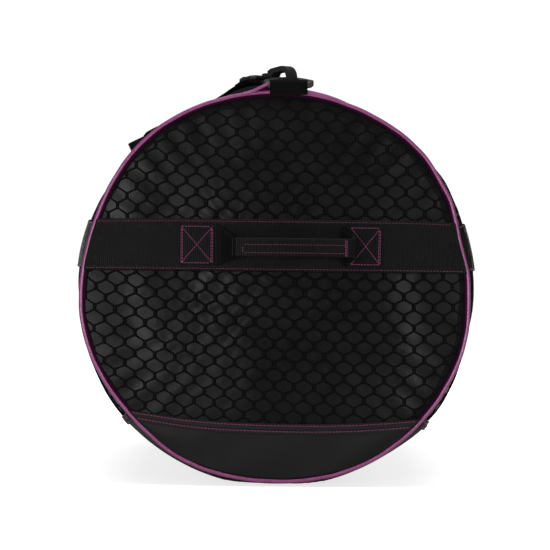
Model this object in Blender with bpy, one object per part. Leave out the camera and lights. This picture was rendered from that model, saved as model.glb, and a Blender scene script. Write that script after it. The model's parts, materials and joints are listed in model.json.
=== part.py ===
"""Barrel gear bag with mesh ends, a smooth boot, a zipped top and a clip-on shoulder strap.

Frame: X to the right, Y along the bag from its front end to its rear end, Z up.
The origin is on the floor below the middle of the bag. All sizes are in metres.
"""

import math

import bmesh
import bpy
from mathutils import Matrix, Vector

# Driving dimensions: the barrel
BAG_LENGTH = 0.760
END_DIAMETER = 0.380
SIDE_BULGE = 0.018
BASE_BULGE = 0.016
BULGE_POWER = 5.0
END_DOME = 0.008
SHELL = 0.0028
SEAM_INSET = 0.0005
BOOT_ANGLE = math.radians(131.0)
TOP_SEAM_ANGLE = math.radians(19.0)
FLOOR_CLEARANCE = 0.0008
DISC_TIP = math.radians(2.0)
RIM_STEPS = 48

# Driving dimensions: sheets, trims and webbing
GAP = 0.0003
MESH_SHEET = 0.0012
LINING_SHEET = 0.0012
HEM_WIDTH = 0.011
HEM_SHEET = 0.0009
BOOT_EDGE_SAG = 0.009
PIPING_DIAMETER = 0.0055
BINDING_WIDTH = 0.008
BINDING_SHEET = 0.003
WEBBING = 0.0016
BAND_WIDTH = 0.050
BAND_RISE = 0.0399

# Driving dimensions: grab handles
HANDLE_WIDTH = 0.038
HANDLE_RISE = 0.0400
LEFT_ANCHOR = (-0.0927, -0.0595)
RIGHT_ANCHOR = (0.0694, 0.1007)
GRIP_ENDS = (-0.0395, 0.0690)
GRIP_HEIGHT = 0.019
GRIP_DEPTH = 0.0052
GRIP_DROOP = 0.0022
GRIP_STANDOFF = 0.028
GRIP_BOW = 0.003
GRIP_SHOULDER = (0.6, 0.72)

# Driving dimensions: the zip
ZIP_OPENING = 0.492
ZIP_LENGTH = 0.624
ZIP_CHANNEL = 0.012
ZIP_TAPE_WIDTH = 0.015
ZIP_TAPE = 0.001
CHAIN_WIDTH = 0.0024
CHAIN_SPLIT = 0.0008
CHAIN_PROUD = 0.0006
SLIDER_LENGTH = 0.020
SLIDER_WALL = 0.002
SLIDER_INSET = 0.027
BAIL_BAR = 0.0016
BAIL_RISE = 0.0033
PULL_WIDTH = 0.0052
PULL_LENGTH = 0.029
PULL_SHEET = 0.0012
PULL_DROOP = math.radians(6.0)
PULL_CURL = math.radians(290.0)

# Driving dimensions: ring tabs, D-rings and snap hooks
TAB_WIDTH = 0.036
TAB_CENTRE = 0.010
TAB_TAIL = 0.020
RING_ROD = 0.0064
RING_SHOULDER = 0.7
RING_DEPTH = 0.024
RING_PITCH = math.radians(16.0)
RING_CORNER_ANGLE = math.radians(12.0)
RING_CLIP_ANGLE = math.radians(104.0)
HOOK_STOCK = 0.005
HOOK_EYE_HEIGHT = 0.014
HOOK_EYE_LENGTH = 0.022
EYE_DROP = 0.0045
HOOK_THICKNESS = 0.0105
HOOK_BEAK = 0.001
GATE_TIP_HEIGHT = 0.0035
HOOK_NECK = 0.003
NECK_CLEARANCE = 0.001
HOOK_HEADING = math.radians(50.0)
HOOK_TILT = math.radians(7.0)
HOOK_ROD_PLACE = (0.0005, -0.0010)
SWIVEL_PIN = 0.005
SWIVEL_HEAD = 0.0085
SWIVEL_HEAD_LENGTH = 0.0025
SWIVEL_BOSS_WALL = 0.0022
SWIVEL_CLEARANCE = 0.0004
LOOP_BAR = 0.0052
LOOP_LENGTH = 0.017

# Driving dimensions: the shoulder strap
STRAP_WIDTH = 0.030
STRAP_SHEET = 0.0018
STRAP_BEND = math.radians(13.0)
STRAP_END_LENGTH = 0.013
PAD_WIDTH = 0.066
PAD_LENGTH = 0.250
PAD_THICKNESS = 0.009
PAD_EDGE = 0.0045
PAD_FROM_END = 0.190
PAD_CONTACT = math.radians(-30.0)
PAD_OVERHANG = 0.006
PAD_END_TAPER = 0.22
PAD_END_THINNING = 0.35
PAD_END_POWER = 6
PAD_SEW_INSET = 0.010
PAD_RAMP = 0.032
PAD_RAMP_LIFT = 0.004
ADJUSTER_Y = 0.155
ADJUSTER_BAR = 0.004
ADJUSTER_SHEET = 0.0026
ADJUSTER_SLOT = 0.013
ADJUSTER_LEAD = 0.010
WEAVE_EASE = 0.001
FLANK_ANGLE = math.radians(-37.0)

# Stops of the strap between a hook and the flank: distance from the bag's end, degrees from the top, lift
FRONT_STRAP_STOPS = ((0.105, -17.5, 0.0055), (0.140, -27.5, 0.0060), (0.168, -33.5, 0.0095))
REAR_STRAP_STOPS = ((0.160, -34.0, 0.0025), (0.132, -27.5, 0.0035), (0.105, -17.5, 0.0055))

# Places worked out from the driving dimensions
AXIS_HEIGHT = END_DIAMETER / 2 + FLOOR_CLEARANCE
PIPING_RADIUS = END_DIAMETER / 2 - PIPING_DIAMETER / 2
SEAM_RADIUS = PIPING_RADIUS - SEAM_INSET
DISC_RADIUS = PIPING_RADIUS - PIPING_DIAMETER / 2 - GAP
CROWN = AXIS_HEIGHT + SEAM_RADIUS
BODY_END = BAG_LENGTH / 2 - PIPING_DIAMETER / 2 - GAP
BAR_HEIGHT = AXIS_HEIGHT + END_DIAMETER / 2 + RING_ROD / 2 + 2 * GAP
TAB_LOOP_RADIUS = RING_ROD / 2 + GAP + WEBBING / 2
TAB_FOOT_DEPTH = -(PIPING_DIAMETER / 2 + GAP + WEBBING / 2)
RING_HALF_WIDTH = TAB_WIDTH / 2 + RING_SHOULDER * RING_ROD
CHAIN_SIDE = CHAIN_SPLIT / 2 + CHAIN_WIDTH
ENDS = {"front": -1, "rear": 1}


def clear_scene():
    for item in list(bpy.data.objects):
        bpy.data.objects.remove(item, do_unlink=True)


def make_material(name, colour, roughness, metallic=0.0):
    material = bpy.data.materials.new(name)
    material.use_nodes = True
    shader = material.node_tree.nodes["Principled BSDF"]
    shader.inputs["Base Color"].default_value = (*colour, 1.0)
    shader.inputs["Roughness"].default_value = roughness
    shader.inputs["Metallic"].default_value = metallic
    return material


def loft(sections, closed=False):
    """Skin a run of like sections; an open run is capped at both ends."""
    shape = bmesh.new()
    rings = [[shape.verts.new(point) for point in section] for section in sections]
    pairs = list(zip(rings, rings[1:]))
    if closed:
        pairs.append((rings[-1], rings[0]))
    for near, far in pairs:
        for index, corner in enumerate(near):
            after = (index + 1) % len(near)
            shape.faces.new((corner, near[after], far[after], far[index]))
    if not closed:
        shape.faces.new(rings[0])
        shape.faces.new(rings[-1])
    return shape


def slab(outer, inner, keep=lambda row, column: True):
    """Close the space between two like grids of points, leaving out the cells that keep refuses."""
    shape = bmesh.new()
    grids = []
    for rows in (outer, inner):
        grids.append([[shape.verts.new(point) for point in row] for row in rows])
    cells = set()
    for row in range(len(outer) - 1):
        for column in range(len(outer[0]) - 1):
            if keep(row, column):
                cells.add((row, column))
    for row, column in cells:
        corners = ((row, column), (row, column + 1), (row + 1, column + 1), (row + 1, column))
        neighbours = ((row - 1, column), (row, column + 1), (row + 1, column), (row, column - 1))
        for grid in grids:
            shape.faces.new([grid[r][c] for r, c in corners])
        for index, neighbour in enumerate(neighbours):
            if neighbour not in cells:
                (r0, c0), (r1, c1) = corners[index], corners[(index + 1) % 4]
                shape.faces.new((grids[0][r0][c0], grids[0][r1][c1], grids[1][r1][c1], grids[1][r0][c0]))
    loose = [vertex for vertex in shape.verts if not vertex.link_faces]
    bmesh.ops.delete(shape, geom=loose, context="VERTS")
    return shape


def ribbon(path, thickness):
    """Outline of a strip of even thickness that follows a flat path of (u, v) points."""
    left, right = [], []
    for index, point in enumerate(path):
        before = path[max(index - 1, 0)]
        after = path[min(index + 1, len(path) - 1)]
        along = Vector((after[0] - before[0], after[1] - before[1])).normalized()
        across = Vector((-along.y, along.x)) * thickness / 2
        left.append((point[0] + across.x, point[1] + across.y))
        right.append((point[0] - across.x, point[1] - across.y))
    return left + right[::-1]


def arc(centre, radius, start, end, steps):
    points = []
    for step in range(steps + 1):
        angle = start + (end - start) * step / steps
        points.append((centre[0] + radius * math.cos(angle), centre[1] + radius * math.sin(angle)))
    return points


def spread(start, end, count):
    return [start + (end - start) * index / (count - 1) for index in range(count)]


def add_piece(name, shape, material, origin=(0, 0, 0), parent=None):
    """Turn a world-space shape into a named object whose origin lies at the given point."""
    bmesh.ops.recalc_face_normals(shape, faces=shape.faces)
    bmesh.ops.transform(shape, matrix=Matrix.Translation(-Vector(origin)), verts=shape.verts)
    mesh = bpy.data.meshes.new(name)
    shape.to_mesh(mesh)
    shape.free()
    mesh.materials.append(material)
    piece = bpy.data.objects.new(name, mesh)
    bpy.context.scene.collection.objects.link(piece)
    piece.location = origin
    if parent is not None:
        piece.parent = parent
        piece.location = Vector(origin) - parent.matrix_world.translation
    bpy.context.view_layer.update()
    return piece


def combine(piece, tool_shape, operation):
    """Join a helper shape to a piece, or cut it away, with a Boolean modifier."""
    tool = add_piece(piece.name + "_" + operation.lower(), tool_shape, piece.data.materials[0])
    tool.hide_render = True
    tool.display_type = "WIRE"
    boolean = piece.modifiers.new(operation.title(), "BOOLEAN")
    boolean.operation = operation
    boolean.object = tool
    boolean.solver = "EXACT"


def tube_section(centre, radius, first, second, sides):
    points = []
    for side in range(sides):
        angle = 2 * math.pi * (side + 0.5) / sides
        points.append(centre + first * (radius * math.cos(angle)) + second * (radius * math.sin(angle)))
    return points


def fullness(y):
    return 1.0 - abs(2 * y / BAG_LENGTH) ** BULGE_POWER


def body_point(angle, y, lift=0.0):
    """Point on the barrel, angle measured from the top towards +X, lift outwards; flat on the floor."""
    swell = SIDE_BULGE * math.sin(angle) ** 2
    if math.cos(angle) < 0:
        swell += BASE_BULGE * math.cos(angle) ** 2
    radius = SEAM_RADIUS + fullness(y) * swell + lift
    height = max(AXIS_HEIGHT + radius * math.cos(angle), -lift)
    return Vector((radius * math.sin(angle), y, height))


def body_shell(angles, lengths, outer_lift, inner_lift, keep=lambda row, column: True):
    outer = [[body_point(angle, y, outer_lift) for angle in angles] for y in lengths]
    inner = [[body_point(angle, y, inner_lift) for angle in angles] for y in lengths]
    return slab(outer, inner, keep)


def body_stations(count):
    """Stations along the barrel, closer together near its ends where it curves most."""
    return [-BODY_END * math.cos(math.pi * index / (count - 1)) for index in range(count)]


def end_point(end, x, depth, z):
    """Point near one end; depth runs from the end seam's plane into the bag."""
    return Vector((x, ENDS[end] * (BAG_LENGTH / 2 - depth), z))


def dome(x, z):
    return END_DOME * (1.0 - (x * x + (z - AXIS_HEIGHT) ** 2) / DISC_RADIUS ** 2)


def end_sheet(end, rows, outer_lift, inner_lift):
    """A sheet on the domed end; rows hold (x, z) points, lifts are outwards from the end's face."""
    grids = []
    for lift in (outer_lift, inner_lift):
        grids.append([[end_point(end, x, -dome(x, z) - lift, z) for x, z in row] for row in rows])
    return slab(*grids)


def disc_half_width(rise):
    return math.sqrt(max(DISC_RADIUS ** 2 - rise ** 2, 0.0))


def disc_rows(first_angle, last_angle, sag, row_count, column_count):
    """Rows across the end disc between two rim angles; the first row hangs by sag at its middle."""
    rows = []
    for index, angle in enumerate(spread(first_angle, last_angle, row_count)):
        share = (1.0 - index / (row_count - 1)) ** 2
        half = DISC_RADIUS * math.sin(angle)
        level = AXIS_HEIGHT + DISC_RADIUS * math.cos(angle)
        columns = spread(-1.0, 1.0, column_count)
        rows.append([(half * u, level - sag * share * (1 - u * u)) for u in columns])
    return rows


def strip_rows(level, width, sag, row_count, column_count):
    """Rows of a strip across the end disc, from its upper edge down by its width."""
    rows = []
    for drop in spread(0.0, width, row_count):
        half = disc_half_width(level - drop - AXIS_HEIGHT)
        columns = spread(-1.0, 1.0, column_count)
        rows.append([(half * u, level - drop - sag * (1 - u * u)) for u in columns])
    return rows


def build_barrel(root, cloth):
    """Boot, side panels, fixed top panels, side bands and boot hems."""
    stations = body_stations(13)
    seam = GAP / 2 / SEAM_RADIUS
    boot_angles = spread(BOOT_ANGLE + seam, 2 * math.pi - BOOT_ANGLE - seam, 21)
    add_piece("boot_panel", body_shell(boot_angles, stations, 0, -SHELL), cloth["vinyl"], parent=root)
    for side, sign in (("left", -1), ("right", 1)):
        angles = spread(sign * (TOP_SEAM_ANGLE + seam), sign * (BOOT_ANGLE - seam), 17)
        panel = body_shell(angles, stations, 0, -SHELL)
        add_piece(side + "_side_panel", panel, cloth["mesh"], parent=root)
        middle = sign * math.acos(BAND_RISE / (SEAM_RADIUS + SIDE_BULGE))
        half = BAND_WIDTH / 2 / (SEAM_RADIUS + SIDE_BULGE)
        band = body_shell(spread(middle - half, middle + half, 4), stations, GAP + WEBBING, GAP)
        add_piece(side + "_side_band", band, cloth["webbing"], parent=root)
        edge = sign * (BOOT_ANGLE + seam)
        hem_angles = spread(edge, edge + sign * HEM_WIDTH / (SEAM_RADIUS + SIDE_BULGE), 2)
        hem = body_shell(hem_angles, stations, GAP + HEM_SHEET, GAP)
        add_piece(side + "_boot_hem", hem, cloth["vinyl"], parent=root)
    channel = ZIP_CHANNEL / 2 / SEAM_RADIUS
    left_run = spread(-TOP_SEAM_ANGLE + seam, -channel, 4)
    angles = left_run + [-angle for angle in left_run[::-1]]
    middle_column = len(left_run) - 1
    for end, sign in ENDS.items():
        notch = ZIP_LENGTH / 2 + GAP
        lengths = [sign * y for y in [ZIP_OPENING / 2 + GAP, notch] + spread(notch, BODY_END, 4)[1:]]
        beside_zip = lambda row, column: row > 0 or column != middle_column
        panel = body_shell(angles, lengths, 0, -SHELL, beside_zip)
        add_piece(end + "_top_panel", panel, cloth["mesh"], parent=root)


def build_flaps(root, cloth):
    """The two halves of the opening top, hinged at the top seams, with their zip tapes."""
    seam = GAP / 2 / SEAM_RADIUS
    channel = ZIP_CHANNEL / 2 / SEAM_RADIUS
    half_opening = ZIP_OPENING / 2
    for side, sign in (("left", -1), ("right", 1)):
        axis = body_point(sign * TOP_SEAM_ANGLE, 0.0, GAP)
        angles = spread(sign * channel, sign * (TOP_SEAM_ANGLE - seam), 6)
        panel = body_shell(angles, spread(-half_opening, half_opening, 7), 0, -SHELL)
        flap = add_piece(side + "_zip_flap", panel, cloth["mesh"], axis, root)
        tape_top = -SHELL - GAP
        profile = [
            (CHAIN_SPLIT / 2, tape_top - ZIP_TAPE),
            (ZIP_TAPE_WIDTH, tape_top - ZIP_TAPE),
            (ZIP_TAPE_WIDTH, tape_top),
            (CHAIN_SIDE, tape_top),
            (CHAIN_SIDE, CHAIN_PROUD),
            (CHAIN_SPLIT / 2, CHAIN_PROUD),
        ]
        sections = []
        for y in (-half_opening, half_opening):
            sections.append([body_point(sign * s / SEAM_RADIUS, y, lift) for s, lift in profile])
        add_piece(side + "_zip_tape", loft(sections), cloth["zip"], axis, flap)
    for end, sign in ENDS.items():
        tape_top = -SHELL - GAP
        right = [
            (ZIP_TAPE_WIDTH, tape_top - ZIP_TAPE),
            (ZIP_TAPE_WIDTH, tape_top),
            (CHAIN_SIDE, tape_top),
            (CHAIN_SIDE, CHAIN_PROUD),
        ]
        profile = right + [(-s, lift) for s, lift in right[::-1]]
        sections = []
        for y in (half_opening + GAP, ZIP_LENGTH / 2):
            sections.append([body_point(s / SEAM_RADIUS, sign * y, lift) for s, lift in profile])
        add_piece(end + "_zip_end", loft(sections), cloth["zip"], parent=root)


def build_slider(root, cloth):
    """Zip slider straddling the chain, with a bail, and the pull that swings on the bail."""
    middle = -ZIP_LENGTH / 2 + SLIDER_INSET
    roof = CROWN + CHAIN_PROUD + GAP
    outside = ZIP_CHANNEL / 2 - GAP
    inside = CHAIN_SIDE + GAP
    foot = CROWN - SHELL
    right = [(inside, roof), (inside, foot), (outside, foot), (outside, roof + SLIDER_WALL)]
    profile = right + [(-x, z) for x, z in right[::-1]]
    sections = []
    for y in (middle - SLIDER_LENGTH / 2, middle + SLIDER_LENGTH / 2):
        sections.append([Vector((x, y, z)) for x, z in profile])
    slider = add_piece("zip_slider", loft(sections), cloth["metal"], (0, middle, roof), root)
    bar_height = roof + SLIDER_WALL + BAIL_RISE
    leg = PULL_WIDTH / 2 + GAP + BAIL_BAR / 2
    foot_height = roof + SLIDER_WALL / 2
    corner = BAIL_BAR / 2
    path = [
        (-leg, foot_height),
        (-leg, bar_height - corner),
        (-leg + corner, bar_height),
        (leg - corner, bar_height),
        (leg, bar_height - corner),
        (leg, foot_height),
    ]
    outline = ribbon(path, BAIL_BAR)
    bail = []
    for y in (middle - BAIL_BAR / 2, middle + BAIL_BAR / 2):
        bail.append([Vector((x, y, z)) for x, z in outline])
    combine(slider, loft(bail), "UNION")
    curl = BAIL_BAR / 2 * math.sqrt(2.0) + 2 * GAP + PULL_SHEET / 2
    path = [(-PULL_LENGTH, curl), (-PULL_LENGTH / 2, curl)]
    path += arc((0, 0), curl, math.pi / 2, math.pi / 2 - PULL_CURL, 12)
    turned = []
    for u, v in ribbon(path, PULL_SHEET):
        y = u * math.cos(PULL_DROOP) - v * math.sin(PULL_DROOP)
        z = u * math.sin(PULL_DROOP) + v * math.cos(PULL_DROOP)
        turned.append((middle + y, bar_height + z))
    sections = [[Vector((x, y, z)) for y, z in turned] for x in (-PULL_WIDTH / 2, PULL_WIDTH / 2)]
    add_piece("zip_pull", loft(sections), cloth["metal"], (0, middle, bar_height), slider)


def build_end(end, root, cloth):
    """Lining, mesh, boot segment, hem, webbing band, piping and inner binding of one end."""
    seam = GAP / (DISC_RADIUS * math.sin(BOOT_ANGLE))
    lining = disc_rows(math.pi - DISC_TIP, DISC_TIP, 0.0, 15, 13)
    lining_top = -MESH_SHEET - GAP
    sheet = end_sheet(end, lining, lining_top, lining_top - LINING_SHEET)
    add_piece(end + "_lining", sheet, cloth["lining"], parent=root)
    mesh = disc_rows(BOOT_ANGLE - seam, DISC_TIP, BOOT_EDGE_SAG, 12, 13)
    add_piece(end + "_mesh", end_sheet(end, mesh, 0, -MESH_SHEET), cloth["mesh"], parent=root)
    boot = disc_rows(BOOT_ANGLE, math.pi - DISC_TIP, BOOT_EDGE_SAG, 6, 13)
    add_piece(end + "_boot", end_sheet(end, boot, 0, -MESH_SHEET), cloth["vinyl"], parent=root)
    boot_level = AXIS_HEIGHT + DISC_RADIUS * math.cos(BOOT_ANGLE)
    hem = strip_rows(boot_level, HEM_WIDTH, BOOT_EDGE_SAG, 2, 13)
    add_piece(end + "_boot_hem", end_sheet(end, hem, GAP + HEM_SHEET, GAP), cloth["vinyl"], parent=root)
    band_top = AXIS_HEIGHT + BAND_RISE + BAND_WIDTH / 2
    band = strip_rows(band_top, BAND_WIDTH, 0.0, 4, 15)
    add_piece(end + "_band", end_sheet(end, band, GAP + WEBBING, GAP), cloth["webbing"], parent=root)
    along = Vector((0, 1, 0))
    piping, binding = [], []
    for step in range(RIM_STEPS):
        angle = 2 * math.pi * step / RIM_STEPS
        out = Vector((math.sin(angle), 0, math.cos(angle)))
        centre = end_point(end, 0, 0, AXIS_HEIGHT) + out * PIPING_RADIUS
        piping.append(tube_section(centre, PIPING_DIAMETER / 2, out, along, 6))
        inside = SEAM_RADIUS - SHELL - GAP
        start = MESH_SHEET + LINING_SHEET + 2 * GAP
        corners = []
        for radius, depth in ((inside, start), (inside, start + BINDING_WIDTH)):
            corners.append(end_point(end, radius * out.x, depth, AXIS_HEIGHT + radius * out.z))
        inside -= BINDING_SHEET
        for radius, depth in ((inside, start + BINDING_WIDTH), (inside, start)):
            corners.append(end_point(end, radius * out.x, depth, AXIS_HEIGHT + radius * out.z))
        binding.append(corners)
    add_piece(end + "_piping", loft(piping, closed=True), cloth["piping"], parent=root)
    add_piece(end + "_seam_binding", loft(binding, closed=True), cloth["lining"], parent=root)


def handle_section(end, x, depth, z, height, thickness, heading):
    """Upright strip section; heading is the (x, depth) direction that the strip runs in."""
    across = Vector((-heading[1], heading[0])).normalized() * thickness / 2
    points = []
    for sign, level in ((1, height / 2), (1, -height / 2), (-1, -height / 2), (-1, height / 2)):
        points.append(end_point(end, x + sign * across.x, depth + sign * across.y, z + level))
    return points


def build_handle(end, root, cloth):
    """Two sewn anchors, two legs and the folded grip of one end's grab handle."""
    level = AXIS_HEIGHT + HANDLE_RISE
    grip_level = level - GRIP_DROOP
    seat = 2 * GAP + WEBBING
    for side, (start, stop) in (("left", LEFT_ANCHOR), ("right", RIGHT_ANCHOR)):
        rows = []
        for z in spread(level + HANDLE_WIDTH / 2, level - HANDLE_WIDTH / 2, 3):
            rows.append([(x, z) for x in spread(start, stop, 4)])
        anchor = end_sheet(end, rows, seat + WEBBING, seat)
        add_piece(end + "_handle_" + side + "_anchor", anchor, cloth["webbing"], parent=root)
    left, right = GRIP_ENDS
    middle, half = (left + right) / 2, (right - left) / 2
    grip = []
    for x in spread(left, right, 7):
        reach = END_DOME + GRIP_STANDOFF + GRIP_BOW * (1 - ((x - middle) / half) ** 2)
        centre = end_point(end, x, -reach, grip_level)
        flat, shoulder = GRIP_SHOULDER
        upper = [(1.0, shoulder), (flat, 1.0), (-flat, 1.0), (-1.0, shoulder)]
        outline = upper + [(depth, -height) for depth, height in upper[::-1]]
        grip.append([centre + Vector((0, depth * GRIP_DEPTH / 2, height * GRIP_HEIGHT / 2))
                     for depth, height in outline])
    hinge = end_point(end, 0, -END_DOME - seat - WEBBING / 2, level)
    add_piece(end + "_handle_grip", loft(grip), cloth["webbing"], hinge, root)
    legs = (("left", LEFT_ANCHOR[1], left), ("right", RIGHT_ANCHOR[0], right))
    for side, anchor_edge, grip_edge in legs:
        foot = -dome(anchor_edge, level) - seat - WEBBING / 2
        span = -END_DOME - GRIP_STANDOFF - foot
        sections = []
        for x, rise, share, heading in leg_stops(side, anchor_edge, grip_edge):
            height = HANDLE_WIDTH + (GRIP_HEIGHT - HANDLE_WIDTH) * share
            thickness = WEBBING + (GRIP_DEPTH - WEBBING) * share ** 3
            z = level + (grip_level - level) * share
            sections.append(handle_section(end, x, foot + span * rise, z, height, thickness, heading))
        add_piece(end + "_handle_" + side + "_leg", loft(sections), cloth["webbing"], parent=root)


def leg_stops(side, anchor_edge, grip_edge):
    """Stops of a leg from anchor to grip: x, share of the standoff, share of the fold, and heading.

    The left leg slopes out along the end. The grip has been pushed over to the right, so the right
    leg stands straight out and doubles back into the grip's end.
    """
    if side == "left":
        run = grip_edge - anchor_edge - 2 * GAP
        start = anchor_edge + GAP
        return (
            (start, 0.0, 0.0, (1, 0)),
            (start + 0.35 * run, 0.22, 0.35, (1, -0.7)),
            (start + 0.70 * run, 0.75, 0.70, (1, -0.8)),
            (start + run, 1.0, 1.0, (1, 0)),
        )
    out = HANDLE_WIDTH / 10
    return (
        (anchor_edge - GAP, 0.0, 0.0, (-1, 0)),
        (anchor_edge - out, 0.16, 0.30, (-1, -1.6)),
        (anchor_edge - out, 0.45, 0.60, (0.1, -1)),
        (grip_edge + out, 0.78, 0.75, (1, -1.4)),
        (grip_edge + 1.4 * out, 0.93, 0.85, (-0.3, -1)),
        (grip_edge + GAP, 1.0, 1.0, (-1, 0)),
    )


def ring_path():
    """Centre line of the D-ring as (x, reach) from the middle of its bar."""
    path = []
    for angle in spread(RING_CORNER_ANGLE, math.pi - RING_CORNER_ANGLE, 13):
        path.append((RING_HALF_WIDTH * math.cos(angle), RING_DEPTH * math.sin(angle)))
    corner = RING_HALF_WIDTH - RING_ROD / 4
    straight = RING_HALF_WIDTH - 0.6 * RING_ROD
    path += [(-corner, RING_ROD / 5), (-straight, 0.0), (straight, 0.0), (corner, RING_ROD / 5)]
    return path


def ring_point(x, reach, lift=0.0):
    """(x, depth, z) of a point on the D-ring's tilted plane, or lifted off it."""
    depth = reach * math.cos(RING_PITCH) - lift * math.sin(RING_PITCH)
    rise = reach * math.sin(RING_PITCH) + lift * math.cos(RING_PITCH)
    return Vector((TAB_CENTRE + x, depth, BAR_HEIGHT + rise))


def build_ring(end, root, cloth):
    """Webbing tab sewn over the top of the end seam, and the D-ring that it carries."""
    low = AXIS_HEIGHT + PIPING_RADIUS - PIPING_DIAMETER / 4
    sections = []
    for x in spread(TAB_CENTRE - TAB_WIDTH / 2, TAB_CENTRE + TAB_WIDTH / 2, 5):
        top = body_point(math.asin(x / SEAM_RADIUS), BODY_END).z
        tail = top + GAP + WEBBING / 2
        path = [(TAB_FOOT_DEPTH, low)]
        path += arc((0, BAR_HEIGHT), TAB_LOOP_RADIUS, math.pi, 0.0, 8)
        path += [
            (TAB_LOOP_RADIUS, tail + 2 * WEBBING),
            (TAB_LOOP_RADIUS + WEBBING / 2, tail + WEBBING / 2),
            (TAB_LOOP_RADIUS + 2 * WEBBING, tail),
            (TAB_TAIL, tail),
        ]
        sections.append([end_point(end, x, depth, z) for depth, z in ribbon(path, WEBBING)])
    add_piece(end + "_ring_tab", loft(sections), cloth["webbing"], parent=root)
    path = ring_path()
    rings = []
    for index, (x, reach) in enumerate(path):
        before = Vector(path[index - 1])
        after = Vector(path[(index + 1) % len(path)])
        along = (after - before).normalized()
        points = []
        for side in range(8):
            angle = 2 * math.pi * (side + 0.5) / 8
            off = RING_ROD / 2 * math.cos(angle)
            lift = RING_ROD / 2 * math.sin(angle)
            place = ring_point(x - along.y * off, reach + along.x * off, lift)
            points.append(end_point(end, *place))
        rings.append(points)
    hinge = end_point(end, TAB_CENTRE, 0, BAR_HEIGHT)
    add_piece(end + "_d_ring", loft(rings, closed=True), cloth["hardware"], hinge, root)


def hook_axes():
    """Place on the swivel's line over the eye, and the hook's directions: to its nose, sideways and up."""
    shank = Vector((
        -math.cos(HOOK_HEADING) * math.cos(HOOK_TILT),
        math.sin(HOOK_HEADING) * math.cos(HOOK_TILT),
        -math.sin(HOOK_TILT),
    ))
    nose = -shank
    up = (Vector((0, 0, 1)) - nose * nose.z).normalized()
    side = up.cross(nose)
    rod_x = RING_HALF_WIDTH * math.cos(RING_CLIP_ANGLE)
    rod = ring_point(rod_x, RING_DEPTH * math.sin(RING_CLIP_ANGLE))
    over_eye = rod - nose * HOOK_ROD_PLACE[0] - up * (HOOK_ROD_PLACE[1] - EYE_DROP)
    return over_eye, nose, side, up


def hook_point(end, p, w, q):
    """Point at p towards the hook's nose, w across it and q up, from the swivel's line over its eye."""
    over_eye, nose, side, up = hook_axes()
    return end_point(end, *(over_eye + nose * p + side * w + up * q))


def hook_layout():
    """Places along the hook, counted back from the middle of its eye."""
    inner = HOOK_EYE_LENGTH / 2
    back = inner + HOOK_STOCK
    neck = back + HOOK_NECK
    front_bar = neck + NECK_CLEARANCE
    front_bar_end = front_bar + LOOP_BAR
    head = front_bar_end + SWIVEL_CLEARANCE
    loop = front_bar_end + LOOP_LENGTH
    return {
        "inner": inner, "back": back, "neck": neck, "front_bar": front_bar,
        "front_bar_end": front_bar_end, "head": head, "loop": loop,
    }


def extrude_on_hook(end, outline, half_width):
    return loft([[hook_point(end, p, w, q) for p, q in outline] for w in (-half_width, half_width)])


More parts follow.
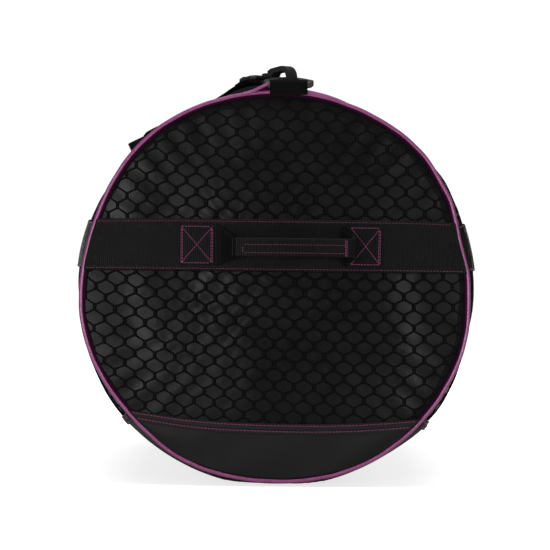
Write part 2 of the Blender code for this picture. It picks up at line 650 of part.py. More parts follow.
def build_hook(end, root, cloth):
    """Snap hook with its swivel pin, its sprung gate and the loop that the strap goes through."""
    lay = hook_layout()
    tall = HOOK_EYE_HEIGHT / 2
    outside = tall + HOOK_STOCK
    bend = lay["inner"] - tall
    neck_half = 0.8 * SWIVEL_PIN
    bottom, top = -EYE_DROP - outside, outside - EYE_DROP
    outline = [
        (-lay["neck"], -neck_half), (-lay["back"], -neck_half), (-lay["back"], bottom),
        (-lay["inner"] - GAP, bottom), (-lay["inner"] - GAP, -EYE_DROP - tall + HOOK_STOCK / 2),
        (-lay["inner"], tall / 2 - EYE_DROP), (-lay["inner"] + tall / 2, tall - EYE_DROP),
    ]
    outline += arc((bend, -EYE_DROP), tall, math.pi / 2, -math.pi / 2, 8)
    outline += [(bend - HOOK_BEAK, -EYE_DROP - tall), (bend - HOOK_BEAK, bottom)]
    outline += arc((bend, -EYE_DROP), outside, -math.pi / 2, math.pi / 2, 10)
    outline += [(-lay["inner"], top), (-lay["back"], (top + neck_half) / 2), (-lay["back"], neck_half)]
    outline += [(-lay["neck"], neck_half)]
    shape = extrude_on_hook(end, outline, HOOK_THICKNESS / 2)
    swivel = hook_point(end, -lay["neck"], 0, 0)
    hook = add_piece(end + "_hook", shape, cloth["hardware"], swivel, root)
    pin = []
    radii = (
        (lay["back"], SWIVEL_PIN / 2), (lay["head"], SWIVEL_PIN / 2),
        (lay["head"], SWIVEL_HEAD / 2), (lay["head"] + SWIVEL_HEAD_LENGTH, SWIVEL_HEAD / 2),
    )
    for place, radius in radii:
        ring = []
        for side in range(10):
            angle = 2 * math.pi * side / 10
            ring.append(hook_point(end, -place, radius * math.cos(angle), radius * math.sin(angle)))
        pin.append(ring)
    combine(hook, loft(pin), "UNION")
    gate_tip = bend - HOOK_BEAK - GAP
    pivot = (HOOK_STOCK / 2 - lay["inner"], bottom + HOOK_STOCK / 2)
    outline = [(gate_tip, bottom), (gate_tip, bottom + GATE_TIP_HEIGHT)]
    outline += arc(pivot, HOOK_STOCK / 2, math.pi / 2, 3 * math.pi / 2, 8)
    hinge = hook_point(end, pivot[0], 0, pivot[1])
    shape = extrude_on_hook(end, outline, HOOK_THICKNESS / 2 - GAP)
    add_piece(end + "_gate", shape, cloth["hardware"], hinge, hook)
    half = STRAP_WIDTH / 2 + 2 * GAP + LOOP_BAR / 2
    front = lay["front_bar"] + LOOP_BAR / 2
    cut = LOOP_BAR / 3
    corners = [
        (-front, -half + cut), (-front, half - cut),
        (-front - cut, half), (-lay["loop"] + cut, half),
        (-lay["loop"], half - cut), (-lay["loop"], -half + cut),
        (-lay["loop"] + cut, -half), (-front - cut, -half),
    ]
    frame = []
    for index, (p, w) in enumerate(corners):
        before, after = Vector(corners[index - 1]), Vector(corners[(index + 1) % len(corners)])
        along = (after - before).normalized()
        ring = []
        for side in range(8):
            angle = 2 * math.pi * (side + 0.5) / 8
            off = LOOP_BAR / 2 * math.cos(angle)
            lift = LOOP_BAR / 2 * math.sin(angle)
            ring.append(hook_point(end, p - along.y * off, w + along.x * off, lift))
        frame.append(ring)
    base = add_piece(end + "_hook_loop", loft(frame, closed=True), cloth["hardware"], parent=root)
    boss_half = SWIVEL_PIN / 2 + SWIVEL_BOSS_WALL
    boss = []
    for place in (lay["front_bar"], lay["front_bar_end"]):
        boss.append([hook_point(end, -place, w * boss_half, q * boss_half)
                     for w, q in ((1, 1), (1, -1), (-1, -1), (-1, 1))])
    combine(base, loft(boss), "UNION")
    bore = []
    for place in (lay["front_bar"] - LOOP_BAR, lay["front_bar_end"] + LOOP_BAR):
        radius = SWIVEL_PIN / 2 + SWIVEL_CLEARANCE
        bore.append([hook_point(end, -place, radius * math.cos(math.pi * side / 5),
                                radius * math.sin(math.pi * side / 5)) for side in range(10)])
    combine(base, loft(bore), "DIFFERENCE")


def strap_direction():
    """Direction in which the strap leaves the hook's loop, and its upper side, as (p, q)."""
    along = Vector((-math.cos(STRAP_BEND), -math.sin(STRAP_BEND)))
    upper = Vector((-math.sin(STRAP_BEND), math.cos(STRAP_BEND)))
    return along, upper


def build_strap_end(end, root, cloth):
    """Doubled end of the strap, sewn round the hook's loop bar."""
    along, upper = strap_direction()
    bar = Vector((-hook_layout()["loop"], 0))
    loop = LOOP_BAR / 2 + GAP + WEBBING / 2
    layer = WEBBING / 2 + GAP / 2
    top = math.atan2(upper.y, upper.x)
    path = [bar + along * STRAP_END_LENGTH - upper * layer]
    path += [Vector(point) for point in arc(bar, loop, top + math.pi, top + 2 * math.pi, 10)]
    path += [bar + along * STRAP_END_LENGTH + upper * layer]
    shape = extrude_on_hook(end, ribbon(path, WEBBING), STRAP_WIDTH / 2)
    add_piece(end + "_strap_end", shape, cloth["webbing"], parent=root)


def flank_slope(angle, y):
    """Direction down the barrel's left side at a place, square to the bag's length."""
    step = math.radians(0.5)
    return (body_point(angle - step, y) - body_point(angle + step, y)).normalized()


def flank(angle, y, lift):
    """A place over the barrel's left side and the direction that faces out of it there."""
    outward = Vector((0, 1, 0)).cross(flank_slope(angle, y))
    return body_point(angle, y) + outward * lift, outward


def pad_place(y, across, lift):
    """A place over the shoulder pad's flat underside, measured down from its line of contact."""
    contact, outward = flank(PAD_CONTACT, y, GAP)
    return contact + flank_slope(PAD_CONTACT, y) * across + outward * lift, outward


def smooth_run(stops, steps):
    """Points and outward directions along a smooth curve through the stops."""
    run = []
    last = len(stops) - 1
    for index in range(last):
        first = stops[max(index - 1, 0)]
        near, far = stops[index], stops[index + 1]
        beyond = stops[min(index + 2, last)]
        for step in range(steps):
            t = step / steps
            place = 0.5 * (
                2 * near[0] + (far[0] - first[0]) * t
                + (2 * first[0] - 5 * near[0] + 4 * far[0] - beyond[0]) * t * t
                + (3 * near[0] - first[0] - 3 * far[0] + beyond[0]) * t ** 3
            )
            run.append((place, near[1].lerp(far[1], t).normalized()))
    run.append(stops[last])
    return run


def strap_start(end, beyond):
    """A place past the strap's doubled end, in line with it, and the way the strap's face looks there."""
    along, upper = strap_direction()
    bar = Vector((-hook_layout()["loop"], 0))
    place = bar + along * (STRAP_END_LENGTH + beyond)
    origin = hook_point(end, 0, 0, 0)
    facing = hook_point(end, upper.x, 0, upper.y) - origin
    return hook_point(end, place.x, 0, place.y), facing.normalized()


def strap_stops():
    """Stops of the strap from the front hook, over its pad, through its adjuster, to the rear hook."""
    far = BAG_LENGTH / 2
    pad_centre = PAD_WIDTH / 2 - PAD_OVERHANG
    on_pad = PAD_THICKNESS + GAP + STRAP_SHEET / 2
    flat = STRAP_SHEET / 2 + 2 * GAP
    pad_front = PAD_FROM_END - far
    pad_rear = pad_front + PAD_LENGTH
    front = [strap_start("front", STRAP_WIDTH / 3)]
    for inset, degrees, lift in FRONT_STRAP_STOPS:
        front.append(flank(math.radians(degrees), inset - far, lift))
    for y in (pad_front + PAD_SEW_INSET, pad_front + PAD_LENGTH / 2, pad_rear - PAD_SEW_INSET):
        front.append(pad_place(y, pad_centre, on_pad))
    front.append(flank(FLANK_ANGLE, pad_rear + PAD_RAMP, flat + PAD_RAMP_LIFT))
    front.append(flank(FLANK_ANGLE, ADJUSTER_Y - adjuster_half() - ADJUSTER_LEAD, flat))
    rear = [flank(FLANK_ANGLE, ADJUSTER_Y + adjuster_half() + ADJUSTER_LEAD, flat)]
    for inset, degrees, lift in REAR_STRAP_STOPS:
        rear.append(flank(math.radians(degrees), far - inset, lift))
    rear.append(strap_start("rear", STRAP_WIDTH / 3))
    return front, rear


def adjuster_half():
    return 1.5 * ADJUSTER_BAR + ADJUSTER_SLOT


def build_strap(root, cloth):
    """Shoulder strap with its pad and its three-bar adjuster, all swinging on the hook loops' line."""
    front, rear = strap_stops()
    flat = STRAP_SHEET / 2 + 2 * GAP
    under_bar = flat + STRAP_SHEET / 2 + GAP
    over_bar = under_bar + ADJUSTER_SHEET + GAP + STRAP_SHEET / 2
    weave = []
    slot_in = ADJUSTER_BAR / 2 + WEAVE_EASE
    slot_out = ADJUSTER_BAR / 2 + ADJUSTER_SLOT - WEAVE_EASE
    for offset, lift in ((-slot_out, flat), (-slot_in, over_bar), (slot_in, over_bar), (slot_out, flat)):
        weave.append(flank(FLANK_ANGLE, ADJUSTER_Y + offset, lift))
    run = [strap_start("front", 2 * GAP)] + smooth_run(front, 4) + weave
    run += smooth_run(rear, 4) + [strap_start("rear", 2 * GAP)]
    sections = []
    for index, (place, outward) in enumerate(run):
        before = run[max(index - 1, 0)][0]
        after = run[min(index + 1, len(run) - 1)][0]
        along = (after - before).normalized()
        across = along.cross(outward).normalized() * STRAP_WIDTH / 2
        face = across.cross(along).normalized() * STRAP_SHEET / 2
        upper = [place + across + face, place - across + face]
        lower = [place - across - face, place + across - face]
        sections.append(upper + lower)
    bar = hook_layout()["loop"]
    axis = (hook_point("front", -bar, 0, 0) + hook_point("rear", -bar, 0, 0)) / 2
    strap = add_piece("shoulder_strap", loft(sections), cloth["webbing"], axis, root)
    pad = []
    pad_front = PAD_FROM_END - BAG_LENGTH / 2
    for share in spread(-1.0, 1.0, 9):
        y = pad_front + PAD_LENGTH * (share + 1) / 2
        narrow = 1.0 - PAD_END_TAPER * abs(share) ** PAD_END_POWER
        thin = 1.0 - PAD_END_THINNING * abs(share) ** PAD_END_POWER
        centre = PAD_WIDTH / 2 - PAD_OVERHANG
        ring = []
        for u in spread(-1.0, 1.0, 7):
            ring.append(pad_place(y, centre + u * narrow * PAD_WIDTH / 2, 0.0)[0])
        for u in spread(1.0, -1.0, 7):
            thickness = PAD_EDGE + (PAD_THICKNESS * thin - PAD_EDGE) * (1 - u ** 4)
            ring.append(pad_place(y, centre + u * narrow * PAD_WIDTH / 2, thickness)[0])
        pad.append(ring)
    add_piece("shoulder_pad", loft(pad), cloth["pad"], axis, strap)
    half = STRAP_WIDTH / 2 + 2 * GAP
    columns = [-half - ADJUSTER_BAR, -half, half, half + ADJUSTER_BAR]
    slot = ADJUSTER_BAR / 2 + ADJUSTER_SLOT
    rear_lengths = [ADJUSTER_BAR / 2, slot, slot + ADJUSTER_BAR]
    lengths = [-offset for offset in rear_lengths[::-1]] + rear_lengths
    down = flank_slope(FLANK_ANGLE, ADJUSTER_Y)
    grids = []
    for lift in (under_bar + ADJUSTER_SHEET, under_bar):
        grid = []
        for offset in lengths:
            middle = flank(FLANK_ANGLE, ADJUSTER_Y + offset, lift)[0]
            grid.append([middle + down * column for column in columns])
        grids.append(grid)
    plate = slab(*grids, lambda row, column: column != 1 or row in (0, 2, 4))
    add_piece("strap_adjuster", plate, cloth["hardware"], axis, strap)


def main():
    clear_scene()
    cloth = {
        "mesh": make_material("black mesh", (0.018, 0.018, 0.020), 0.65),
        "lining": make_material("satin lining", (0.035, 0.035, 0.038), 0.45),
        "vinyl": make_material("matte vinyl", (0.022, 0.022, 0.024), 0.60),
        "webbing": make_material("black webbing", (0.020, 0.020, 0.022), 0.80),
        "piping": make_material("magenta piping", (0.42, 0.03, 0.36), 0.45),
        "zip": make_material("zip tape", (0.020, 0.020, 0.022), 0.70),
        "metal": make_material("black enamelled metal", (0.030, 0.030, 0.032), 0.35, 1.0),
        "hardware": make_material("moulded plastic", (0.050, 0.050, 0.055), 0.40),
        "pad": make_material("padded cloth", (0.018, 0.018, 0.020), 0.85),
    }
    root = bpy.data.objects.new("gear_bag", None)
    bpy.context.scene.collection.objects.link(root)
    bpy.context.view_layer.update()
    build_barrel(root, cloth)
    build_flaps(root, cloth)
    build_slider(root, cloth)
    for end in ENDS:
        build_end(end, root, cloth)
        build_handle(end, root, cloth)
        build_ring(end, root, cloth)
        build_hook(end, root, cloth)
        build_strap_end(end, root, cloth)
    build_strap(root, cloth)


main()
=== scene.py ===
import json
import math

import bmesh
import bpy
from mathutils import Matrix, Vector


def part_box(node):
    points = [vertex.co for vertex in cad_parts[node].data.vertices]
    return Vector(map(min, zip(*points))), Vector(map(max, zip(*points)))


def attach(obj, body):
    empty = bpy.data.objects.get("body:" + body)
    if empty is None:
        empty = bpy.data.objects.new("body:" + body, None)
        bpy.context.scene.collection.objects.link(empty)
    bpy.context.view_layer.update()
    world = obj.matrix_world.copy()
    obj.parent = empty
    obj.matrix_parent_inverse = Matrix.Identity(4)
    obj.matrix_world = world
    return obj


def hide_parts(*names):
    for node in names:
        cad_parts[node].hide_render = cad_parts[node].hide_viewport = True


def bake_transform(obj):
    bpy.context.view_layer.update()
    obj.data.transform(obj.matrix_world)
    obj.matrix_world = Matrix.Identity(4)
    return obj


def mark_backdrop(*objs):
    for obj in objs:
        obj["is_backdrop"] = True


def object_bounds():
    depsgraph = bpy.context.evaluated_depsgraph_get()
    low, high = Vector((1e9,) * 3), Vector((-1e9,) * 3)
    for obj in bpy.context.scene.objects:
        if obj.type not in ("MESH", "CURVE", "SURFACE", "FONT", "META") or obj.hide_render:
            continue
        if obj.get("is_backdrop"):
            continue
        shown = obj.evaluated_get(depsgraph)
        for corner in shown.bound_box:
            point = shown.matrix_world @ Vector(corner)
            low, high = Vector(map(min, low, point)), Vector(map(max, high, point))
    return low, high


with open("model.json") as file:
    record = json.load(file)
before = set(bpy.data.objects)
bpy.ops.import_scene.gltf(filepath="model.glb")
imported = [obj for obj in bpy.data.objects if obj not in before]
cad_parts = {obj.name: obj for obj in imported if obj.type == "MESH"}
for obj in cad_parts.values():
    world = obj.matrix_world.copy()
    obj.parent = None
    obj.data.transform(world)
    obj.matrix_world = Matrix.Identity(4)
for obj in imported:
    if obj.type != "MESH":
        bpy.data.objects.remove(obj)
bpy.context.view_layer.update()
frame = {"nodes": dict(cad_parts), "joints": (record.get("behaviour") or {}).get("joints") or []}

# %% [markdown]
# Every size comes from the solids. The piping gives the circle of the end seam, the side panel says how
# far the barrel swells past that circle, and the net gives the height of the end's shallow dome.
# %% Sizes of the barrel
rim_low, rim_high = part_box("front_piping")
AXIS = (rim_low.z + rim_high.z) / 2
CORD = rim_high.y - rim_low.y
RIM = (rim_high.x - rim_low.x - CORD * math.cos(math.pi / 6)) / 2
END = -(rim_low.y + rim_high.y) / 2
SEAM = RIM - 0.0005
PIPE = 0.0021
DISC = RIM - 0.0013
SIDE_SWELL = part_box("right_side_panel")[1].x - SEAM
BASE_SWELL = 0.016
DOME = -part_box("front_mesh")[0].y - END
ENDS = (("front", -1), ("rear", 1))
SIDES = (("left", -1), ("right", 1))
print("end radius", round(RIM, 4), "half length", round(END, 4), "swell", round(SIDE_SWELL, 4))

# %% [markdown]
# A sewn seam never stays a true circle. The piping in the photograph runs in and out by a few
# millimetres where the stuffing pushes or the cloth is gathered, most of all at the band's right end.
# Noise would wander anywhere, so the drift is a short list of such places, as degrees from the right up
# over the top and millimetres outwards. Cloth near the seam follows it.
# %% The seam's drift
SEAM_DRIFT = (
    (2, -2.9), (14, -6.0), (30, -0.5), (44, 2.5), (70, 0.6), (96, 0.0), (128, 2.2), (164, -2.9),
    (194, 1.5), (224, -1.9), (242, 0.2), (266, -1.5), (302, 2.1), (340, 1.5), (362, -2.9),
)


def seam_drift(angle):
    """How far the seam stands out of its circle, at an angle from the top towards the right."""
    turn = (90 - math.degrees(angle) - 2) % 360 + 2
    for (start, before), (stop, after) in zip(SEAM_DRIFT, SEAM_DRIFT[1:]):
        if start <= turn <= stop:
            share = (turn - start) / (stop - start)
            return 0.001 * (before + (after - before) * share * share * (3 - 2 * share))
    return 0.0


print("drift", [round(1000 * seam_drift(math.radians(a)), 2) for a in range(0, 360, 45)])

# %% [markdown]
# Two functions give any place on the cloth: one on the barrel, by angle and length, and one on an end.
# The barrel's folds only go inwards, so the strap that lies on it stays clear. Short puckers run from
# the end seams, where the cloth is gathered onto the piping and draws the sides in, and the load pushes
# it out in three places near the ends. A cloth simulation of the whole bag could fold it too, but with
# formulas every piece knows where its neighbours lie.
# %% Places on the cloth
def fullness(y):
    return 1 - min(abs(y / END), 1) ** 5


def barrel(angle, y, lift=0.0):
    """A place on the stuffed barrel as it was patterned, without folds."""
    swell = SIDE_SWELL * math.sin(angle) ** 2
    if math.cos(angle) < 0:
        swell += BASE_SWELL * math.cos(angle) ** 2
    radius = SEAM + fullness(y) * swell + lift
    return Vector((radius * math.sin(angle), y, max(AXIS + radius * math.cos(angle), max(-lift, 0))))


PUCKER, HOLLOW, LONG_FOLD, GATHER_REACH = 0.0013, 0.0022, 0.0012, 0.03


def folds(angle, y):
    """Depth of the barrel's soft hollows and of the puckers by its end seams."""
    gathered = math.exp((abs(y) - END) / GATHER_REACH)
    pucker = 0.5 + 0.5 * math.sin(37 * angle + 1.3 * math.sin(5 * angle))
    hollow = 0.5 + 0.5 * math.sin(3 * angle + 8 * y + 0.6) * math.sin(10 * y - 2 * angle)
    long_fold = max(0.0, math.sin(9 * angle + 2.2 * math.sin(6 * y))) ** 3
    return PUCKER * gathered * pucker + (1 - gathered) * (HOLLOW * hollow + LONG_FOLD * long_fold)


LUMPS = ((58, 13, 0.0065), (127, 17, 0.0085), (-129, 12, 0.0035))


def stuffed(angle, share):
    """How far the load pushes the cloth out near the ends, at the places where it does."""
    turn = math.degrees(angle)
    turn = turn - 360 if turn > 180 else turn
    out = sum(push * math.exp(-((turn - place) / wide) ** 2) for place, wide, push in LUMPS)
    return out * 2.2 * share ** 6 * (1 - share ** 10)


def body(angle, y, lift=0.0):
    """A place on the barrel's cloth; angle from the top towards the right."""
    share = min(abs(y / END), 1)
    near = share ** 14
    out = barrel(angle, y, lift)
    drawn_in = SIDE_SWELL * math.sin(angle) ** 2 * (share ** 3.4 - share ** 5)
    shift = seam_drift(angle) * near - drawn_in - folds(angle, y) * (1 if abs(angle) < 2.3 else 0.3)
    shift += stuffed(angle, share)
    out.x += shift * math.sin(angle)
    out.z = max(out.z + shift * math.cos(angle), max(-lift, 0))
    return out


CRUMPLE, RIM_RIPPLE = 0.0009, 0.0008


def end(sign, x, z, lift=0.0):
    """A place on an end panel; sign is -1 at the front and 1 at the rear."""
    rise = z - AXIS
    reach = math.hypot(x, rise)
    share = min(reach / DISC, 1)
    drift = seam_drift(math.atan2(x, rise)) * share ** 5
    grow = 1 + drift / max(reach, 0.01)
    crumple = CRUMPLE * math.sin(31 * x + 17 * rise + 1.1) * math.sin(23 * rise - 14 * x)
    crumple += RIM_RIPPLE * math.sin(44 * math.atan2(x, rise)) * share ** 8
    y = END + DOME * (1 - share ** 2) + crumple * (1 - share ** 6) + lift
    return Vector((x * grow, sign * y, AXIS + rise * grow))


print("top", tuple(round(v, 4) for v in body(0, 0)), "end", tuple(round(v, 4) for v in end(-1, 0, AXIS)))

# %% [markdown]
# Finishes share three effects. Cloth fades in soft patches, yarns leave a fine grain, and webbing and
# tape show a cross weave that follows each strip's own length, with painted shade darkening its grooves.
# Painted pictures could show the same, but nodes stay sharp however near the camera comes. Each effect is
# one node group, so that every cloth gets the same kind of wear.
# %% Shared effects
def effect(name, inputs, outputs):
    group = bpy.data.node_groups.new(name, "ShaderNodeTree")
    for label, kind, value in inputs:
        group.interface.new_socket(label, in_out="INPUT", socket_type=kind).default_value = value
    for label, kind in outputs:
        group.interface.new_socket(label, in_out="OUTPUT", socket_type=kind)
    nodes = group.nodes
    return group, nodes.new("NodeGroupInput"), nodes.new("NodeGroupOutput")


def sum_node(nodes, operation, *values):
    node = nodes.new("ShaderNodeMath")
    node.operation = operation
    for index, value in enumerate(values):
        if value is not None:
            node.inputs[index].default_value = value
    return node


def noise_node(group, size, detail):
    place = group.nodes.new("ShaderNodeTexCoord")
    noise = group.nodes.new("ShaderNodeTexNoise")
    noise.inputs["Detail"].default_value = detail
    group.links.new(place.outputs["Object"], noise.inputs["Vector"])
    group.links.new(size, noise.inputs["Scale"])
    return noise


fade, given, result = effect(
    "cloth_fade",
    (("Cloth", "NodeSocketColor", (0.02, 0.02, 0.02, 1)), ("Fade", "NodeSocketFloat", 0.3),
     ("Patches", "NodeSocketFloat", 14.0)),
    (("Colour", "NodeSocketColor"), ("Wear", "NodeSocketFloat")))
patch = noise_node(fade, given.outputs["Patches"], 4.0)
centre = sum_node(fade.nodes, "SUBTRACT", None, 0.5)
depth = sum_node(fade.nodes, "MULTIPLY_ADD", None, None, 1.0)
tint = fade.nodes.new("ShaderNodeVectorMath")
tint.operation = "SCALE"
for start, stop in (
    (patch.outputs["Fac"], centre.inputs[0]), (centre.outputs[0], depth.inputs[0]),
    (given.outputs["Fade"], depth.inputs[1]), (given.outputs["Cloth"], tint.inputs[0]),
    (depth.outputs[0], tint.inputs["Scale"]), (tint.outputs[0], result.inputs["Colour"]),
    (patch.outputs["Fac"], result.inputs["Wear"]),
):
    fade.links.new(start, stop)

grain, given, result = effect(
    "yarn_grain", (("Fineness", "NodeSocketFloat", 900.0),), (("Height", "NodeSocketFloat"),))
yarn = noise_node(grain, given.outputs["Fineness"], 2.0)
grain.links.new(yarn.outputs["Fac"], result.inputs["Height"])

RIB, YARN = 0.00195, 0.0011
weave, given, result = effect(
    "cross_weave", (("Rib", "NodeSocketFloat", RIB), ("Yarn", "NodeSocketFloat", YARN)),
    (("Height", "NodeSocketFloat"), ("Shade", "NodeSocketFloat")))
laid = weave.nodes.new("ShaderNodeUVMap")
laid.uv_map = "cloth"
split = weave.nodes.new("ShaderNodeSeparateXYZ")
weave.links.new(laid.outputs["UV"], split.inputs[0])
waves = []
for axis, label in (("X", "Rib"), ("Y", "Yarn")):
    turns = sum_node(weave.nodes, "DIVIDE")
    angle = sum_node(weave.nodes, "MULTIPLY", None, 2 * math.pi)
    wave = sum_node(weave.nodes, "COSINE")
    weave.links.new(split.outputs[axis], turns.inputs[0])
    weave.links.new(given.outputs[label], turns.inputs[1])
    weave.links.new(turns.outputs[0], angle.inputs[0])
    weave.links.new(angle.outputs[0], wave.inputs[0])
    waves.append(wave)
# Scaled up and clamped, the wave of a rib gets a flat top and a narrow groove.
crossed = sum_node(weave.nodes, "MULTIPLY_ADD", None, 1.3, 0.75)
crossed.use_clamp = True
raised = sum_node(weave.nodes, "MULTIPLY_ADD", None, 0.15, None)
weave.links.new(waves[0].outputs[0], crossed.inputs[0])
weave.links.new(waves[1].outputs[0], raised.inputs[0])
weave.links.new(crossed.outputs[0], raised.inputs[2])
weave.links.new(raised.outputs[0], result.inputs["Height"])
# Shade is 0 in a rib's groove and 1 on its flat top; it darkens the colour in the groove as painted shade.
weave.links.new(crossed.outputs[0], result.inputs["Shade"])
print("effects", [group.name for group in (fade, grain, weave)])

# %% [markdown]
# Each finish is a principled shader with its own colour, gloss and bump. The net's yarn is dull, the
# lining of an end has a satin gleam, the boot's coated cloth is smooth, and the piping is a soft magenta
# vinyl. Webbing gleams on its ribs and is dull in its grooves, whose colour is darkened as painted shade.
# The cloths are very dark, so their shine is kept low. The lining and webbing of the sides and the
# handle's left leg are lighter and duller copies of the same cloths, painted light, because at a slant
# the satin would look black or glare. One function makes all of them, so that each finish is a single
# call with its values to tune.
# %% Finishes
GROOVE_DULL, BUMP_DEPTH = 0.35, 0.0004
WEAR_LOW, WEAR_HIGH = 0.3, 0.7
RIB_WEAVE, TAB_WEAVE, TAPE_WEAVE = (RIB, YARN), (0.0012, YARN), (0.0009, 0.0009)


def finish(name, colour, fading, patches, rough, shine, bump, fineness=0, woven=None):
    """A material from its colour, the strength and fineness of its fading, its range of roughness, its
    shine, the strength of its bump, and the fineness of its grain or the two sizes of its weave."""
    material = bpy.data.materials.new(name)
    material.use_nodes = True
    nodes, links = material.node_tree.nodes, material.node_tree.links
    shader = nodes["Principled BSDF"]
    shader.inputs["Specular IOR Level"].default_value = shine
    tone = nodes.new("ShaderNodeGroup")
    tone.node_tree = fade
    tone.inputs["Cloth"].default_value = (*colour, 1)
    tone.inputs["Fade"].default_value = fading
    tone.inputs["Patches"].default_value = patches
    links.new(tone.outputs["Colour"], shader.inputs["Base Color"])
    gloss = nodes.new("ShaderNodeMapRange")
    gloss.inputs["From Min"].default_value, gloss.inputs["From Max"].default_value = WEAR_LOW, WEAR_HIGH
    gloss.inputs["To Min"].default_value, gloss.inputs["To Max"].default_value = rough
    links.new(tone.outputs["Wear"], gloss.inputs["Value"])
    links.new(gloss.outputs["Result"], shader.inputs["Roughness"])
    relief = nodes.new("ShaderNodeBump")
    relief.inputs["Strength"].default_value = bump
    relief.inputs["Distance"].default_value = BUMP_DEPTH
    surface = nodes.new("ShaderNodeGroup")
    if woven:
        surface.node_tree = weave
        surface.inputs["Rib"].default_value, surface.inputs["Yarn"].default_value = woven
        # The weave's Shade multiplies the colour, which paints shade into the grooves.
        painted_groove_shade = nodes.new("ShaderNodeMix")
        painted_groove_shade.data_type, painted_groove_shade.blend_type = "RGBA", "MULTIPLY"
        painted_groove_shade.inputs[0].default_value = 1.0
        links.new(tone.outputs["Colour"], painted_groove_shade.inputs[6])
        links.new(surface.outputs["Shade"], painted_groove_shade.inputs[7])
        links.new(painted_groove_shade.outputs[2], shader.inputs["Base Color"])
        worn = sum_node(nodes, "MULTIPLY_ADD", None, -GROOVE_DULL, None)
        links.new(surface.outputs["Shade"], worn.inputs[0])
        links.new(gloss.outputs["Result"], worn.inputs[2])
        links.new(worn.outputs[0], shader.inputs["Roughness"])
    else:
        surface.node_tree = grain
        surface.inputs["Fineness"].default_value = fineness
    links.new(surface.outputs["Height"], relief.inputs["Height"])
    links.new(relief.outputs["Normal"], shader.inputs["Normal"])
    return material


NET = finish("net_yarn", (0.0042, 0.0040, 0.0044), 0.5, 30, (0.62, 0.8), 0.06, 0.35, 1500)
LINING = finish("satin_lining", (0.0032, 0.0031, 0.0035), 0.7, 22, (0.24, 0.33), 0.11, 0.16, 500)
# The lining of the sides and the top is a lighter copy of the end's satin: painted light.
LIT_BODY_LINING = finish("body_lining_painted_light", (0.0145, 0.0140, 0.0152), 0.7, 22, (0.30, 0.42), 0.10, 0.16, 500)
BOOT = finish("coated_boot_cloth", (0.0086, 0.0084, 0.0091), 0.35, 9, (0.42, 0.56), 0.12, 0.10, 1100)
HEM = finish("hem_cloth", (0.0125, 0.0092, 0.0109), 0.4, 25, (0.45, 0.6), 0.12, 0.25, 900)
WEBBING = finish("ribbed_webbing", (0.0058, 0.0056, 0.0061), 0.5, 20, (0.58, 0.70), 0.13, 0.9,
                 woven=RIB_WEAVE)
TAB_WEB = finish("tab_webbing", (0.0056, 0.0054, 0.0059), 0.4, 30, (0.8, 0.95), 0.04, 0.4,
                 woven=TAB_WEAVE)
PIPING = finish("magenta_piping", (0.238, 0.030, 0.149), 0.25, 60, (0.24, 0.34), 0.8, 0.10, 1800)
# The flange is the piping's vinyl darkened: painted shade along the cord's inner edge.
SHADED_FLANGE = finish("piping_flange_painted_shade", (0.018, 0.0009, 0.012), 0.3, 60, (0.5, 0.65), 0.04, 0.15, 1200)
# The webbing of the side bands and the left leg is a lighter copy of the front webbing: painted light.
LIT_SIDE_WEB = finish("side_webbing_painted_light", (0.0175, 0.0170, 0.0182), 0.5, 20, (0.90, 1.0), 0.015, 0.9,
                  woven=RIB_WEAVE)
# The margin's dull dark cloth is partly painted shade round the rim.
SHADED_MARGIN = finish("seam_margin_painted_shade", (0.0068, 0.0064, 0.0071), 0.5, 60, (0.6, 0.8), 0.04, 0.30, 900)
THREAD = finish("magenta_thread", (0.250, 0.055, 0.133), 0.4, 200, (0.5, 0.7), 0.2, 0.3, 4000)
TAPE = finish("zip_tape", (0.0110, 0.0105, 0.0115), 0.4, 30, (0.85, 1.0), 0.16, 0.4, woven=TAPE_WEAVE)
TEETH = finish("moulded_teeth", (0.0120, 0.0120, 0.0130), 0.3, 60, (0.3, 0.42), 0.4, 0.08, 2500)
ENAMEL = finish("black_enamel", (0.0180, 0.0180, 0.0195), 0.3, 90, (0.24, 0.38), 0.5, 0.08, 1500)
PLASTIC = finish("moulded_plastic", (0.0085, 0.0084, 0.0090), 0.35, 70, (0.20, 0.32), 0.45, 0.14, 2200)
RING_PLASTIC = finish("ring_plastic", (0.0300, 0.0298, 0.0308), 0.35, 70, (0.34, 0.48), 0.45, 0.16, 2000)
PAD = finish("pad_cloth", (0.0110, 0.0108, 0.0118), 0.5, 25, (0.62, 0.8), 0.15, 0.45, 1300)
print("finishes", len(bpy.data.materials))

# %% [markdown]
# A few small tools make all the pieces. One closes a sheet between two heights over a grid, one closes a
# hoop, one runs a strip of webbing along a course, and one lays a row of stitches. Modifiers such as
# Solidify and Array could do some of this, but points set by a formula follow the cloth exactly. Each
# piece carries a map in metres, so that the weave keeps its size.
# %% Tools for sheets
MERGE = 2e-6


def spread(start, stop, count):
    return [start + (stop - start) * index / (count - 1) for index in range(count)]


def full_turn(count):
    """Angles at even steps once round."""
    return spread(0, 2 * math.pi, count + 1)[:-1]


def clamp(value):
    return max(0.0, min(1.0, value))


def flattened(part, power):
    """A cosine or sine raised to a power with its sign kept, which turns a circle into a rounded square."""
    return math.copysign(abs(part) ** power, part)


